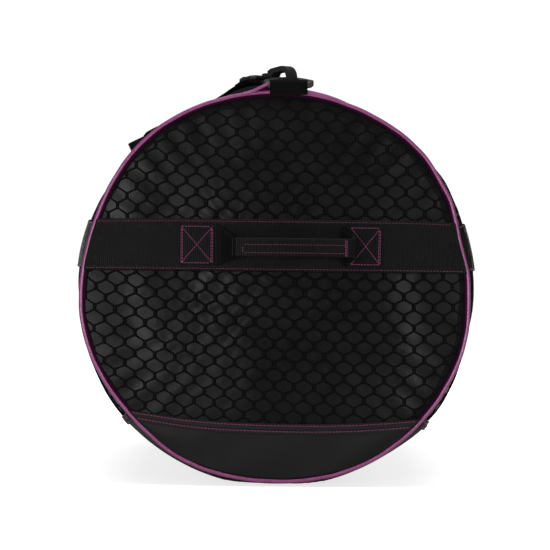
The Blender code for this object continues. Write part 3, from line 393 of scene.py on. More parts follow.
def sheet(place, us, vs, top, bottom, keep=lambda row, column: True):
    """A closed sheet over a grid: points, faces and the map of each point."""
    rows, columns = len(us), len(vs)
    points, laid = [], []
    for lift in (top, bottom):
        for u in us:
            for v in vs:
                points.append(place(u, v, lift(u, v) if callable(lift) else lift))
                laid.append((u, v))

    def corner(layer, row, column):
        return (layer * rows + row) * columns + column

    kept = {(r, c) for r in range(rows - 1) for c in range(columns - 1) if keep(r, c)}
    faces = []
    for row, column in sorted(kept):
        ring = ((row, column), (row + 1, column), (row + 1, column + 1), (row, column + 1))
        faces.append([corner(0, *spot) for spot in ring])
        faces.append([corner(1, *spot) for spot in reversed(ring)])
        beside = ((row, column - 1), (row + 1, column), (row, column + 1), (row - 1, column))
        for index, other in enumerate(beside):
            if other not in kept:
                near, far = ring[index], ring[(index + 1) % 4]
                faces.append([corner(0, *far), corner(0, *near), corner(1, *near), corner(1, *far)])
    return points, faces, laid


def build(name, shape, material, body_name, replaces=()):
    """A piece of the bag that rides on one of its bodies and stands for some of its solids."""
    points, faces, laid = shape
    mesh = bpy.data.meshes.new(name)
    mesh.from_pydata(points, [], faces)
    mesh.uv_layers.new(name="cloth")
    uv = mesh.uv_layers["cloth"].data
    for loop in mesh.loops:
        uv[loop.index].uv = laid[loop.vertex_index]
    work = bmesh.new()
    work.from_mesh(mesh)
    bmesh.ops.remove_doubles(work, verts=work.verts, dist=MERGE)
    bmesh.ops.dissolve_degenerate(work, edges=work.edges, dist=MERGE)
    loose = [vert for vert in work.verts if not vert.link_faces]
    bmesh.ops.delete(work, geom=loose, context="VERTS")
    bmesh.ops.recalc_face_normals(work, faces=work.faces)
    work.to_mesh(mesh)
    work.free()
    mesh.shade_smooth()
    mesh.materials.append(material)
    piece = bpy.data.objects.new(name, mesh)
    bpy.context.scene.collection.objects.link(piece)
    if body_name:
        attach(piece, body_name)
    if replaces:
        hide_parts(*replaces)
    return piece


def joined(*shapes):
    points, faces, laid = [], [], []
    for more, ways, places in shapes:
        base = len(points)
        points += more
        laid += places
        faces += [[base + index for index in face] for face in ways]
    return points, faces, laid


print("quarter turns", [round(math.degrees(turn)) for turn in full_turn(4)])


# %% Tools for strips, cords and stitches
def along(course, step):
    """Places, facings and lengths at even steps along a course of (place, facing)."""
    lengths = [0.0]
    for (here, _), (there, _) in zip(course, course[1:]):
        lengths.append(lengths[-1] + (there - here).length)
    count = max(2, round(lengths[-1] / step) + 1)
    out, index = [], 0
    for number in range(count):
        want = lengths[-1] * number / (count - 1)
        while index < len(lengths) - 2 and lengths[index + 1] < want:
            index += 1
        span = lengths[index + 1] - lengths[index]
        share = (want - lengths[index]) / span if span else 0.0
        (here, face), (there, turned) = course[index], course[index + 1]
        out.append((here.lerp(there, share), face.lerp(turned, share).normalized(), want))
    return out


def smooth(stops, steps):
    """A smooth curve through stops of (place, facing)."""
    course = []
    for index in range(len(stops) - 1):
        first, near = stops[max(index - 1, 0)], stops[index]
        far, last = stops[index + 1], stops[min(index + 2, len(stops) - 1)]
        for step in range(steps):
            t = step / steps
            place = 0.5 * (2 * near[0] + (far[0] - first[0]) * t
                           + (2 * first[0] - 5 * near[0] + 4 * far[0] - last[0]) * t * t
                           + (3 * near[0] - first[0] - 3 * far[0] + last[0]) * t ** 3)
            course.append((place, near[1].lerp(far[1], t).normalized()))
    return course + [stops[-1]]


def loft(rings, laid, closed=False):
    """Faces over rings of points, capped at both ends unless the row of rings is closed."""
    size, count = len(rings[0]), len(rings)
    points = [point for ring in rings for point in ring]
    faces = []
    for row in range(count if closed else count - 1):
        near, far = row * size, (row + 1) % count * size
        for index in range(size):
            after = (index + 1) % size
            faces.append([near + index, near + after, far + after, far + index])
    if not closed:
        faces += [list(range(size)), list(range((count - 1) * size, count * size))]
    return points, faces, laid


def hoop(count, section):
    """A closed hoop in count steps; section gives the places of a ring and their map at a turn."""
    rings, laid = [], []
    for turn in full_turn(count):
        ring = section(turn)
        rings.append([place for place, _ in ring])
        laid += [spot for _, spot in ring]
    return loft(rings, laid, closed=True)


RIB_RISE = 0.00007
WEB_COLUMNS = (-1.0, -0.93, -0.6, -0.2, 0.2, 0.6, 0.93, 1.0)


def webbing(course, width, thick, rib=RIB_RISE):
    """Ribbed webbing along a course; each rib is a real ridge across the strip."""
    rings, laid = [], []
    spots = along(course, RIB / 2)
    for index, (place, face, length) in enumerate(spots):
        before, after = spots[max(index - 1, 0)][0], spots[min(index + 1, len(spots) - 1)][0]
        heading = (after - before).normalized()
        across = heading.cross(face).normalized()
        out = across.cross(heading)
        ridge = rib if index % 2 else -rib
        ring = []
        for side in (1, -1):
            for t in WEB_COLUMNS[::side]:
                edge = 0.4 if abs(t) == 1 else 1.0
                lift = side * (thick / 2 - rib + ridge * edge) * edge
                ring.append(place + across * t * width / 2 + out * lift)
                laid.append((length, t * width / 2))
        rings.append(ring)
    return loft(rings, laid)


def cord(course, radius, sides, closed=False, square=lambda index: 1.0):
    """A round cord whose radius may change along it; a square power under 1 gives it flat sides."""
    rings, laid = [], []
    count, run = len(course), 0.0
    for index, (place, face) in enumerate(course):
        before = course[index - 1 if closed else max(index - 1, 0)][0]
        after = course[(index + 1) % count if closed else min(index + 1, count - 1)][0]
        heading = (after - before).normalized()
        across = heading.cross(face).normalized()
        out = across.cross(heading)
        thick = radius(index / (count - 1)) if callable(radius) else radius
        ring = []
        for side in range(sides):
            turn = 2 * math.pi * side / sides
            wide = flattened(math.cos(turn), square(index))
            tall = flattened(math.sin(turn), square(index))
            ring.append(place + across * thick * wide + out * thick * tall)
            laid.append((run, thick * turn))
        run += (course[(index + 1) % count][0] - place).length
        rings.append(ring)
    return loft(rings, laid, closed)


THREAD_THICK, SUNK_THREAD, STITCH_STEPS = 0.00036, 0.00022, 8


def stitches(course, pitch, share=0.74, thread=THREAD_THICK):
    """Raised stitches in a row along a course, each a short rounded length of thread."""
    spots = along(course, pitch / STITCH_STEPS)
    shapes = []
    for start in range(1, len(spots) - STITCH_STEPS, STITCH_STEPS):
        stop = start + max(2, round(STITCH_STEPS * share))
        picks = [start, start + 1, stop - 1, stop]
        run = []
        for pick, sink in zip(picks, (-0.5, 0.5, 0.5, -0.5)):
            place, face, _ = spots[pick]
            run.append((place + face * thread * sink, face))
        shapes.append(cord(run, lambda t: thread * (0.55 if t in (0.0, 1.0) else 1.0), 6))
    return joined(*shapes)


print("webbing ribs every", RIB, "m")

# %% [markdown]
# The net is a warp knit with pointed cells about 19 by 10 mm. Its upright sides are two yarns thick and
# its slanted sides are thin. The cells in the photograph slope down to the right, more so at the left,
# because the cloth was cut and gathered a little off its grain. A picture of a net could be laid on the
# lining, but only real yarn stands off it, so every cell is a ring of faces.
# %% The honeycomb net
NET_STEP, NET_ROW = 0.0191, 0.0100


def cell(half, tip, shoulder, slant):
    """Ring of a pointed cell: its corners and the middles of its slanted sides."""
    quarter = [(half, shoulder), slant, (0.0, tip)]
    upper = quarter + [(-x, z) for x, z in quarter[1::-1]]
    return upper + [(-x, -z) for x, z in upper]


CELL_LINE = cell(NET_STEP / 2, 0.0078, 0.0022, (NET_STEP / 4, 0.0050))
CELL_FLANK = cell(0.0088, 0.0072, 0.0023, (0.0045, 0.0048))
CELL_HOLE = cell(0.0080, 0.0065, 0.0021, (0.0041, 0.0045))
NET_LAYERS = ((CELL_LINE, -0.0002), (CELL_FLANK, -0.0004), (CELL_HOLE, -0.0013), (CELL_LINE, -0.0013))


def net(place, hold, low, high, origin, warp=lambda u, v: v):
    """Net of cells over the stretch from low to high; hold keeps a point of a cell inside the panel."""
    points, faces, laid = [], [], []
    size = len(CELL_LINE)
    first_row = math.floor((low[1] - origin[1]) / NET_ROW) - 2
    last_row = math.ceil((high[1] - origin[1]) / NET_ROW) + 2
    first = math.floor((low[0] - origin[0]) / NET_STEP) - 1
    last = math.ceil((high[0] - origin[0]) / NET_STEP) + 1
    for row in range(first_row, last_row + 1):
        for column in range(first, last + 1):
            middle = (origin[0] + (column + 0.5 * (row % 2)) * NET_STEP, origin[1] + row * NET_ROW)
            spots = []
            moved = 0
            for ring, lift in NET_LAYERS:
                for du, dv in ring:
                    u, v = middle[0] + du, middle[1] + dv
                    want = (u, warp(u, v))
                    got = hold(*want, *middle)
                    moved += abs(got[0] - want[0]) + abs(got[1] - want[1]) > 1e-7
                    spots.append((got, lift))
            if moved == len(spots):
                continue
            base = len(points)
            for (u, v), lift in spots:
                points.append(place(u, v, lift))
                laid.append((u, v))
            for layer in range(len(NET_LAYERS) - 1):
                near, far = base + layer * size, base + (layer + 1) * size
                for index in range(size):
                    after = (index + 1) % size
                    faces.append([near + index, near + after, far + after, far + index])
    return points, faces, laid


print("net cell", NET_STEP, "by", NET_ROW, "m")

# %% [markdown]
# The boot is a smooth coated cloth that covers the bottom of each end. Its folded top edge sags in the
# middle and drops a little to the right. The edge is one formula, so that the boot, its tape, its
# stitches and the net above it all meet on the same line.
# %% The boot's edge on an end
BOOT_TURN = math.radians(131)
HEM_TOP, HEM_SLOPE, HEM_SAG, HEM_HALF, HEM_GUESS = 0.0676, 0.0104, 0.0085, 0.137, 0.14


def hem_level(x):
    return HEM_TOP - HEM_SLOPE * x - HEM_SAG * (1 - (x / HEM_HALF) ** 2)


def disc_half(z):
    """Half the width of an end panel at a level."""
    return math.sqrt(max(DISC ** 2 - (z - AXIS) ** 2, 1e-9))


def hem_edge(share):
    """A place on the boot's top edge; share runs from -1 at the left rim to 1 at the right. The edge slopes,
    so where it meets the rim is guessed first and then settled in a few rounds."""
    x = HEM_GUESS * share
    for _ in range(12):
        x = share * disc_half(hem_level(x))
    return x, hem_level(x)


print("boot edge", [tuple(round(v, 4) for v in hem_edge(s)) for s in (-1, 0, 1)])

# %% [markdown]
# Behind the net hangs the satin lining. It is cut slack, so it has sunk into a shallow hollow with folds
# and creases, which catch the light in soft streaks. A simulation could fold it as well, but waves that
# are added up put the folds and creases where the photograph has them.
# %% Lining and net of each end
LINING_TOP, END_LINING_UNDER = -0.0013, -0.0027
HEM_LAP = 0.003
END_NET_ORIGIN = (-0.1442, 0.1766)


def net_hold(x, z, *_):
    """Keep a point of the net inside the end's seam and no lower than just under the boot's edge."""
    z = max(z, hem_level(x) - HEM_LAP)
    reach = math.hypot(x, z - AXIS)
    if reach > DISC:
        x, z = x * DISC / reach, AXIS + (z - AXIS) * DISC / reach
    return x, z


def net_slope(x, z):
    """The net's rows slope down to the right, most at the left."""
    return z - 0.050 * x + 0.165 * x * x


SLACK, PRESSED, WRINKLED, UPRIGHT, SLANTED = 0.0040, 0.00012, 0.00010, 0.0010, 0.0007


def slack_depth(x, rise):
    """How far the slack lining has sunk behind the net: a shallow hollow with folds and sharper creases."""
    hollow = max(0.0, 1 - ((rise - 0.03) / 0.15) ** 2)
    upright = math.sin(74 * x + 1.6 * math.sin(19 * rise) + 2.5 - 1.6 * math.tanh(x / 0.03))
    slanted = math.sin(46 * rise + 38 * x + 1.2 * math.sin(27 * x))
    outer = min(1.0, 0.08 + (x / 0.14) ** 4)
    pressed = math.sin(430 * x + 2.2 * math.sin(95 * rise))
    pressed *= math.sin(390 * rise + 2.0 * math.sin(120 * x + 1))
    lumps = PRESSED * pressed + WRINKLED * math.sin(210 * x - 260 * rise + 1.7 * math.sin(150 * rise))
    return SLACK * hollow + lumps + outer * (UPRIGHT * (1 - upright) + SLANTED * (1 - abs(slanted)))


def on_end(sign):
    return lambda x, z, lift: end(sign, x, z, lift)


for name, sign in ENDS:
    def lining_ring(turn):
        reaches = spread(0, DISC, 64)
        ring = []
        for line, lift in ((reaches, LINING_TOP), (reaches[::-1], END_LINING_UNDER)):
            for reach in line:
                x, rise = reach * math.sin(turn), reach * math.cos(turn)
                sunk = slack_depth(x, rise) * (1 - (reach / DISC) ** 2.5)
                ring.append((end(sign, x, AXIS + rise, lift - sunk), (x, rise)))
        return ring

    lining = build(name + "_end_lining", hoop(288, lining_ring), LINING, "bag", (name + "_lining",))
    low, high = (-DISC, AXIS - DISC), (DISC, AXIS + DISC)
    shape = net(on_end(sign), net_hold, low, high, END_NET_ORIGIN, net_slope)
    netting = build(name + "_end_net", shape, NET, "bag", (name + "_mesh",))
print("slack behind the net's middle", round(slack_depth(0, 0), 4), "m")

# %% [markdown]
# Round the lining lies the margin of the seam, a strip of cloth that is seen through the net and is
# widest at the top. It is dull and dark: partly the seam's own cloth, and partly painted shade where the
# lining near the seam and over the top lies in shade. A darker colour at the lining's edge could stand for
# it, but a strip of its own also hides where the lining ends.
# %% Seam margin of each end
def margin_width(turn):
    wide = 0.0062 + 0.0026 * math.cos(turn - 1.05) + 0.0008 * math.sin(23 * turn)
    # The extra width over the top paints the shade there.
    return wide + 0.0050 * max(0.0, math.cos(turn)) ** 12


for name, sign in ENDS:
    def margin_ring(turn):
        inner = DISC - margin_width(turn)
        ring = []
        for reach, lift in ((inner, -0.0014), (inner + 0.001, -0.0012), (DISC, -0.0012), (DISC, -0.0022),
                            (inner, -0.0022)):
            place = end(sign, reach * math.sin(turn), AXIS + reach * math.cos(turn), lift)
            ring.append((place, (reach * turn, lift)))
        return ring

    build(name + "_seam_margin", hoop(192, margin_ring), SHADED_MARGIN, "bag")
print("margin at the top", round(margin_width(0), 4), "m")

# %% [markdown]
# The boot's cloth hangs from its edge to the bottom of the seam, a little slack. A tape with two rows of
# magenta stitching holds the edge down, and the thread has drawn a hollow along each row. The hollows
# are part of the tape's shape, because a bump would not show at the tape's edge.
# %% Boot and hem of each end
HEM_ROWS, HEM_UP, HEM_WIDE = (0.0022, 0.0078), 0.0014, 0.0110
HEM_DROPS = (0.0, 0.0004, 0.0013, 0.0022, 0.0036, 0.0050, 0.0064, 0.0078, 0.0092, 0.0106, HEM_WIDE)
SEAM_STITCH, BOOT_SLACK = 0.0034, 0.0016


def boot_place(sign, share, down, lift):
    """A place on an end's boot; down runs from 0 at its top edge to 1 at the seam."""
    top = hem_edge(share)[1]
    x = share * disc_half(top)
    bottom = AXIS - math.sqrt(max(DISC ** 2 - x ** 2, 0.0))
    slack = BOOT_SLACK * math.sin(math.pi * down) * (0.5 + 0.5 * math.sin(9 * share + 3 * down))
    return end(sign, x, top + (bottom - top) * down, lift + slack)


def hem_place(sign, share, down, lift):
    """A place on the hem's tape; down is measured from the tape's upper edge."""
    level = hem_edge(share)[1] + (HEM_UP - down)
    return end(sign, share * disc_half(level), level, lift)


def hem_lift(_, down):
    if not 0.0002 < down < HEM_WIDE - 0.0002:
        return 0.0005
    middle, pitch = sum(HEM_ROWS) / 2, HEM_ROWS[1] - HEM_ROWS[0]
    return 0.0013 + 0.0004 * math.cos(2 * math.pi * (down - middle) / pitch)


for name, sign in ENDS:
    shape = sheet(lambda *spot: boot_place(sign, *spot), spread(-1, 1, 65), spread(0, 1, 17), 0.0002, -0.0011)
    boot = build(name + "_end_boot", shape, BOOT, "bag", (name + "_boot",))
    shape = sheet(lambda *spot: hem_place(sign, *spot), spread(-1, 1, 97), HEM_DROPS, hem_lift, 0.0003)
    build(name + "_hem_tape", shape, HEM, "bag", (name + "_boot_hem",))
    facing = Vector((0, sign, 0))
    rows = []
    for down in HEM_ROWS:
        line = [(hem_place(sign, share, down, 0.00125), facing) for share in spread(-0.985, 0.985, 90)]
        rows.append(stitches(line, SEAM_STITCH))
    build(name + "_hem_stitches", joined(*rows), THREAD, "bag")

# %% [markdown]
# A 50 mm webbing band crosses each end above its middle and strengthens it where the handle pulls. Its
# ribs are woven across its length, and a row of small magenta stitches runs just inside each edge. The
# ribs are real ridges, which the low light from the sides needs, and the finish adds the finer yarns.
# %% Bands
WEB, WEB_EDGE = 0.0016, 0.0004
low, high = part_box("front_band")
BAND_LOW, BAND_HIGH = low.z, high.z
BAND_HALF, BAND_INSET, BAND_STITCH, SHORT_STITCH = 0.1856, 0.0024, 0.0032, 0.66


def rib_height(u):
    return RIB_RISE * math.cos(2 * math.pi * u / RIB)


def web_height(base, u, edge):
    """Height of sewn-down webbing at u along it and edge in from its side, which is thinner."""
    return base + WEB * (0.55 if edge < WEB_EDGE else 1.0) + (rib_height(u) - RIB_RISE) * (edge > WEB_EDGE)


def web_levels(low, high, count):
    """Lines along sewn-down webbing, close together at both edges."""
    return [low, low + 0.0006] + spread(low + 0.006, high - 0.006, count) + [high - 0.0006, high]


def ribs(start, stop):
    """Places along sewn-down webbing, two for each rib."""
    return spread(start, stop, round((stop - start) / (RIB / 2)) + 1)


def band_lift(x, z):
    return web_height(0.0003, x, min(z - BAND_LOW, BAND_HIGH - z))


for name, sign in ENDS:
    def band_place(x, z, lift):
        limit = disc_half(z) + 0.0004
        return end(sign, max(-limit, min(limit, x)), z, lift)

    levels = web_levels(BAND_LOW, BAND_HIGH, 7)
    shape = sheet(band_place, ribs(-BAND_HALF, BAND_HALF), levels, band_lift, 0.0001)
    build(name + "_end_band", shape, WEBBING, "bag", (name + "_band",))
    facing = Vector((0, sign, 0))
    rows = []
    for level in (BAND_LOW + BAND_INSET, BAND_HIGH - BAND_INSET):
        reach = disc_half(level) - 0.001
        line = [(band_place(x, level, 0.0019), facing) for x in spread(-reach, reach, 120)]
        rows.append(stitches(line, BAND_STITCH, SHORT_STITCH, SUNK_THREAD))
    build(name + "_band_stitches", joined(*rows), THREAD, "bag")
print("band", round(BAND_HIGH - BAND_LOW, 4), "m wide")

# %% [markdown]
# The piping is a cord wrapped in magenta vinyl and sewn into the end seam. Its two ends meet beside the
# ring tab: one laps over the other and dives into the seam, and a short tail of the first is left out
# over the top. A torus would be too even, so the cord is swept along the seam with its drift.
# %% Piping
PIPING_TAIL = ((-10.5, 0.0004, 0.0, -0.17), (-7.6, 0.0016, 0.0012, -0.12),
               (-5.0, 0.0046, 0.0018, -0.08), (-2.7, 0.0080, 0.0016, -0.05))


def rim_place(sign, turn, out=0.0, forward=0.0):
    reach = RIM + seam_drift(turn) + out
    return Vector((reach * math.sin(turn), sign * (END + forward), AXIS + reach * math.cos(turn)))


def radial(turn):
    return Vector((math.sin(turn), 0, math.cos(turn)))


for name, sign in ENDS:
    course = []
    for turn in full_turn(240):
        ripple = 0.00007 * math.sin(47 * turn) + 0.00009 * math.sin(29 * turn + 1)
        course.append((rim_place(sign, turn, ripple - 0.0002, -0.0010), radial(turn)))
    ring = cord(course, PIPE, 14, closed=True)
    lap = []
    for share in spread(0, 1, 20):
        turn = math.radians(6.5 + 15 * share)
        lap.append((rim_place(sign, turn, 0.0018 - 0.0022 * share ** 2, -0.0012), radial(turn)))
    lapped = cord(lap, lambda t: PIPE * (0.95 if t < 0.9 else 0.95 - 3.6 * (t - 0.9)), 12)
    stops = [(rim_place(sign, math.radians(turn), out, forward), radial(lean))
             for turn, out, forward, lean in PIPING_TAIL]
    tail = cord(smooth(stops, 6), lambda t: PIPE * (0.86 - 0.1 * t), 12)
    build(name + "_end_piping", joined(ring, lapped, tail), PIPING, "bag", (name + "_piping",))
print("piping", 2 * PIPE, "m thick")

# %% [markdown]
# Inside the cord shows its flange, the edge of the vinyl that is sewn into the seam. Its colour is the
# piping's vinyl made far darker, which is painted shade along the cord's inner side. By the tail the flange
# stands up out of the seam, and a tuck of dark cloth shows behind it. Both follow the cord's own line, so
# that no gap opens between them and the cord.
# %% Flange and tuck of the piping
FLANGE_SECTION = ((-0.0043, -0.0002), (-0.0037, 0.0003), (-0.0010, 0.0005), (-0.0010, -0.0010),
                  (-0.0041, -0.0010))

for name, sign in ENDS:
    def flange_ring(turn):
        return [(rim_place(sign, turn, out, forward), (RIM * turn, out)) for out, forward in FLANGE_SECTION]

    def raised_place(share, down, lift):
        turn = math.radians(-10.0 + 7.4 * share)
        high = rim_place(sign, turn, 0.0006 + 0.0070 * share ** 1.4, 0.0004)
        return high.lerp(rim_place(sign, turn), down) + Vector((0, sign * lift, 0))

    def tuck_place(share, down, lift):
        turn = math.radians(-15.0 + 12.0 * share)
        rise = 0.0008 + 0.0062 * math.sin(math.pi * min(1.0, 0.62 * share + 0.05)) ** 0.8
        high = rim_place(sign, turn, rise, -0.0034)
        return high.lerp(rim_place(sign, turn, -0.0012, -0.0024), down) + Vector((0, sign * lift, 0))

    raised = sheet(raised_place, spread(0, 1, 9), spread(0, 1, 4), 0.0004, -0.0004)
    # The ring and the raised flange by the tail both carry the painted shade of the darkened vinyl.
    build(name + "_piping_flange_painted_shade", joined(hoop(240, flange_ring), raised), SHADED_FLANGE, "bag")
    tuck = sheet(tuck_place, spread(0, 1, 13), spread(0, 1, 5), 0.0005, -0.0005)
    build(name + "_seam_tuck", tuck, TAPE, "bag")
print("flange", round(FLANGE_SECTION[2][0] - FLANGE_SECTION[0][0], 4), "m wide")

# %% [markdown]
# Inside the bag a tape binds the raw edges of each end seam. It shows only through the open zip, so a
# plain ring with a shallow hollow along its middle is enough.
# %% Inner seam tape
TAPE_DEEP, TAPE_LINE = 0.003, 0.0013

for name, sign in ENDS:
    low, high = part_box(name + "_seam_binding")
    near, far = sorted((low.y * sign, high.y * sign))

    def tape_ring(turn):
        outer = (high.x - low.x) / 2 + seam_drift(turn)
        section = ((near, 0.3), (near + 0.0004, 1.0), (near + 0.004, 0.8), (far - 0.0004, 1.0), (far, 0.3),
                   (far, 0.0), ((near + far) / 2, 0.0), (near, 0.0))
        ring = []
        for index, (depth, reach) in enumerate(section):
            place = radial(turn) * (outer - TAPE_DEEP * (1 - reach)) + Vector((0, sign * depth, AXIS))
            ring.append((place, (outer * turn, TAPE_LINE * index)))
        return ring

    build(name + "_seam_tape", hoop(144, tape_ring), TAPE, "bag", (name + "_seam_binding",))
print("seam tape", round(far - near, 4), "m wide")

# %% [markdown]
# The barrel's sides are the same net over a duller lining, from the top seam down to the boot. A band
# carries on from each end along both sides. The boot runs under the bag from side to side, with its
# taped edge along each flank. All of it is laid out flat, as along and round, and then wrapped on the
# barrel, which is how the real panels were cut.
# %% Barrel
TOP_TURN = math.radians(19)
ARC = SEAM + SIDE_SWELL
BODY_END = END - CORD / 2
LINING_UNDER = -0.0028
SIDE_STITCHED, SIDE_BAND_INSET = 0.374, 0.0019


def side_place(side):
    return lambda y, drop, lift: body(side * drop / ARC, y, lift)


def kept_in(low, high):
    return lambda u, v, *_: (max(low[0], min(high[0], u)), max(low[1], min(high[1], v)))


lengths = spread(-BODY_END, BODY_END, 81)
top, foot = TOP_TURN * ARC, BOOT_TURN * ARC
half = (BAND_HIGH - BAND_LOW) / 2
level = ARC * (math.pi / 2 + (AXIS - (BAND_LOW + BAND_HIGH) / 2) / SEAM)


def side_band_lift(y, drop):
    return web_height(0.0002, y, half - abs(drop - level))


def side_hem_lift(_, drop):
    return 0.0014 if 0.0002 < drop - foot + HEM_UP < HEM_WIDE - 0.0002 else 0.0008


for name, side in SIDES:
    place = side_place(side)
    shape = sheet(place, lengths, spread(top, foot, 41), LINING_TOP, LINING_UNDER)
    # The sides' lining is the lighter copy of the satin: painted light.
    lining = build(name + "_side_lining", shape, LIT_BODY_LINING, "bag")
    low, high = (-BODY_END, top + 0.0002), (BODY_END, foot + 0.002)
    shape = net(place, kept_in(low, high), low, high, (0.003, 0.13))
    netting = build(name + "_side_net", shape, NET, "bag", (name + "_side_panel",))
    levels = web_levels(level - half, level + half, 6)
    shape = sheet(place, ribs(-BODY_END, BODY_END), levels, side_band_lift, 0.0001)
    # The side bands use the lighter webbing: painted light.
    build(name + "_band", shape, LIT_SIDE_WEB, "bag", (name + "_side_band",))
    sideways = Vector((side, 0, 0))
    seams = [(level - half + SIDE_BAND_INSET, 0.0018, sideways),
             (level + half - SIDE_BAND_INSET, 0.0018, sideways)]
    for drop, lift in ((top + 0.003, 0.0002), (top + 0.0095, 0.0002),
                       (foot + HEM_ROWS[0], 0.0015), (foot + HEM_ROWS[1], 0.0015)):
        seams.append((drop, lift, radial(side * drop / ARC)))
    rows = []
    for drop, lift, facing in seams:
        line = [(place(y, drop, lift), facing) for y in spread(-SIDE_STITCHED, SIDE_STITCHED, 160)]
        rows.append(stitches(line, SEAM_STITCH))
    build(name + "_side_stitches", joined(*rows), THREAD, "bag")
    drops = [foot - HEM_UP + drop for drop in HEM_DROPS]
    shape = sheet(place, spread(-BODY_END, BODY_END, 121), drops, side_hem_lift, 0.0004)
    build(name + "_side_hem_tape", shape, HEM, "bag", (name + "_boot_hem",))
rounds = spread(foot - 0.0005, 2 * math.pi * ARC - foot + 0.0005, 49)
shape = sheet(side_place(1), lengths, rounds, 0.0, -0.0026)
boot = build("boot_cloth", shape, BOOT, "bag", ("boot_panel",))
print("side net from", round(top, 3), "to", round(foot, 3), "m round the barrel")

# %% [markdown]
# A zip closes the top. Its tape is woven, and the moulded teeth of its two sides mesh in turn. The teeth
# could be one tooth repeated by an array, but each follows the barrel's own height, so a loop sets them.
# %% Zip tape and teeth
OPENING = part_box("left_zip_flap")[1].y
ZIP_REACH = -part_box("front_zip_end")[0].y
TOOTH_PITCH, TOOTH_LONG, TOOTH_TALL, TOOTH_SUNK = 0.0027, 0.00062, 0.0011, 0.0008
TOOTH_RINGS = ((-0.00035, 0.72), (0.0006, 1.0), (0.0018, 0.9), (0.0027, 0.8))
TAPE_INNER, TAPE_OUTER = 0.0012, 0.0150


def top_place(y, across, lift):
    return body(across / ARC, y, lift)


def teeth(side, start, stop):
    shapes = []
    first = math.ceil(start / TOOTH_PITCH)
    for number in range(first, math.floor(stop / TOOTH_PITCH) + 1):
        y = (number + (0.25 if side > 0 else -0.25)) * TOOTH_PITCH
        if not start + 0.0007 < y < stop - 0.0007:
            continue
        base = body(0, y)
        rings, laid = [], []
        for x, grow in TOOTH_RINGS:
            ring = []
            for turn in range(8):
                angle = math.pi * (turn + 0.5) / 4
                dy = TOOTH_LONG * grow * flattened(math.cos(angle), 0.6)
                dz = TOOTH_TALL * grow * flattened(math.sin(angle), 0.6)
                ring.append(base + Vector((side * x, dy, dz - TOOTH_SUNK)))
                laid.append((y + dy, x))
            rings.append(ring)
        shapes.append(loft(rings, laid))
    return joined(*shapes)


def zip_tape(side, start, stop):
    columns = [TAPE_INNER, TAPE_INNER + 0.0007, 0.004, 0.008, 0.012, TAPE_OUTER - 0.0006, TAPE_OUTER]
    return sheet(lambda y, x, lift: top_place(y, side * x, lift), spread(start, stop, 61), columns,
                 lambda y, x: -0.0030 + (0.0009 if x < TAPE_INNER + 0.0005 else 0.0), -0.0040)


print("zip opening", round(2 * OPENING, 3), "m")

# %% [markdown]
# Two flaps of lined net carry a tape and half of the teeth each, with a smooth lip stitched along the
# zip. Every piece of a flap rides on the flap's body, so the whole flap opens as one.
# %% Zip flaps
CHANNEL = -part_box("left_zip_flap")[1].x * ARC / SEAM
LIP, LIP_STITCH = 0.011, 0.0032


def lip_lift(_, across):
    return 0.0006 if 0.0003 < across - CHANNEL < LIP - 0.0003 else 0.0001


for name, side in SIDES:
    def flap_place(y, across, lift):
        return top_place(y, side * across, lift)

    carrier = name + "_flap"
    spans = spread(-OPENING, OPENING, 61)
    columns = spread(CHANNEL, TOP_TURN * ARC - 0.0006, 13)
    shape = sheet(flap_place, spans, columns, LINING_TOP, LINING_UNDER)
    # The flap's lining is the lighter copy of the satin: painted light.
    lining = build(name + "_flap_lining", shape, LIT_BODY_LINING, carrier)
    low, high = (-OPENING, CHANNEL + LIP - 0.002), (OPENING, TOP_TURN * ARC - 0.0006)
    shape = net(flap_place, kept_in(low, high), low, high, (0.003, 0.04))
    netting = build(name + "_flap_net", shape, NET, carrier, (name + "_zip_flap",))
    columns = [CHANNEL, CHANNEL + 0.0006, CHANNEL + 0.004, CHANNEL + LIP - 0.0006, CHANNEL + LIP]
    build(name + "_flap_lip", sheet(flap_place, spans, columns, lip_lift, -0.0012), BOOT, carrier)
    rows = []
    for across in (CHANNEL + 0.0024, CHANNEL + LIP - 0.0022):
        line = [(flap_place(y, across, 0.0007), Vector((0, 0, 1)))
                for y in spread(0.004 - OPENING, OPENING - 0.004, 90)]
        rows.append(stitches(line, LIP_STITCH))
    build(name + "_flap_stitches", joined(*rows), THREAD, carrier)
    build(name + "_tape", zip_tape(side, -OPENING, OPENING), TAPE, carrier, (name + "_zip_tape",))
    build(name + "_teeth", teeth(side, -OPENING, OPENING), TEETH, carrier)
print("flaps", [name + "_flap" for name, _ in SIDES])

# %% [markdown]
# Past the opening the zip runs on for a short way over the fixed ends of the top, which are lined net too.
# A notch in them leaves room for the tape. It is cut by leaving out cells of the grid, because a boolean
# cut would spoil the even mesh.
# %% Fixed ends of the top
NOTCH_EASE = 0.006
TOP_START = OPENING + 0.0004
wide, deep = TOP_TURN * ARC, BODY_END - OPENING
lines = spread(TOP_START, ZIP_REACH, 8) + spread(ZIP_REACH + NOTCH_EASE, BODY_END, 8)
columns = spread(-wide, -CHANNEL, 9) + spread(CHANNEL, wide, 9)


def outside_notch(row, column):
    by_zip = lines[row + 1] <= ZIP_REACH + 1e-6
    return not (by_zip and abs(columns[column] + columns[column + 1]) < 2 * CHANNEL)


def hold_top(u, v, middle_u, middle_v):
    """Keep a point of the net on the fixed end and out of the zip's notch."""
    u = max(TOP_START, min(BODY_END, u))
    v = max(-wide, min(wide, v))
    if middle_u < ZIP_REACH + NOTCH_EASE:
        side = 1 if middle_v >= 0 else -1
        v = side * max(CHANNEL, side * v)
    return u, v


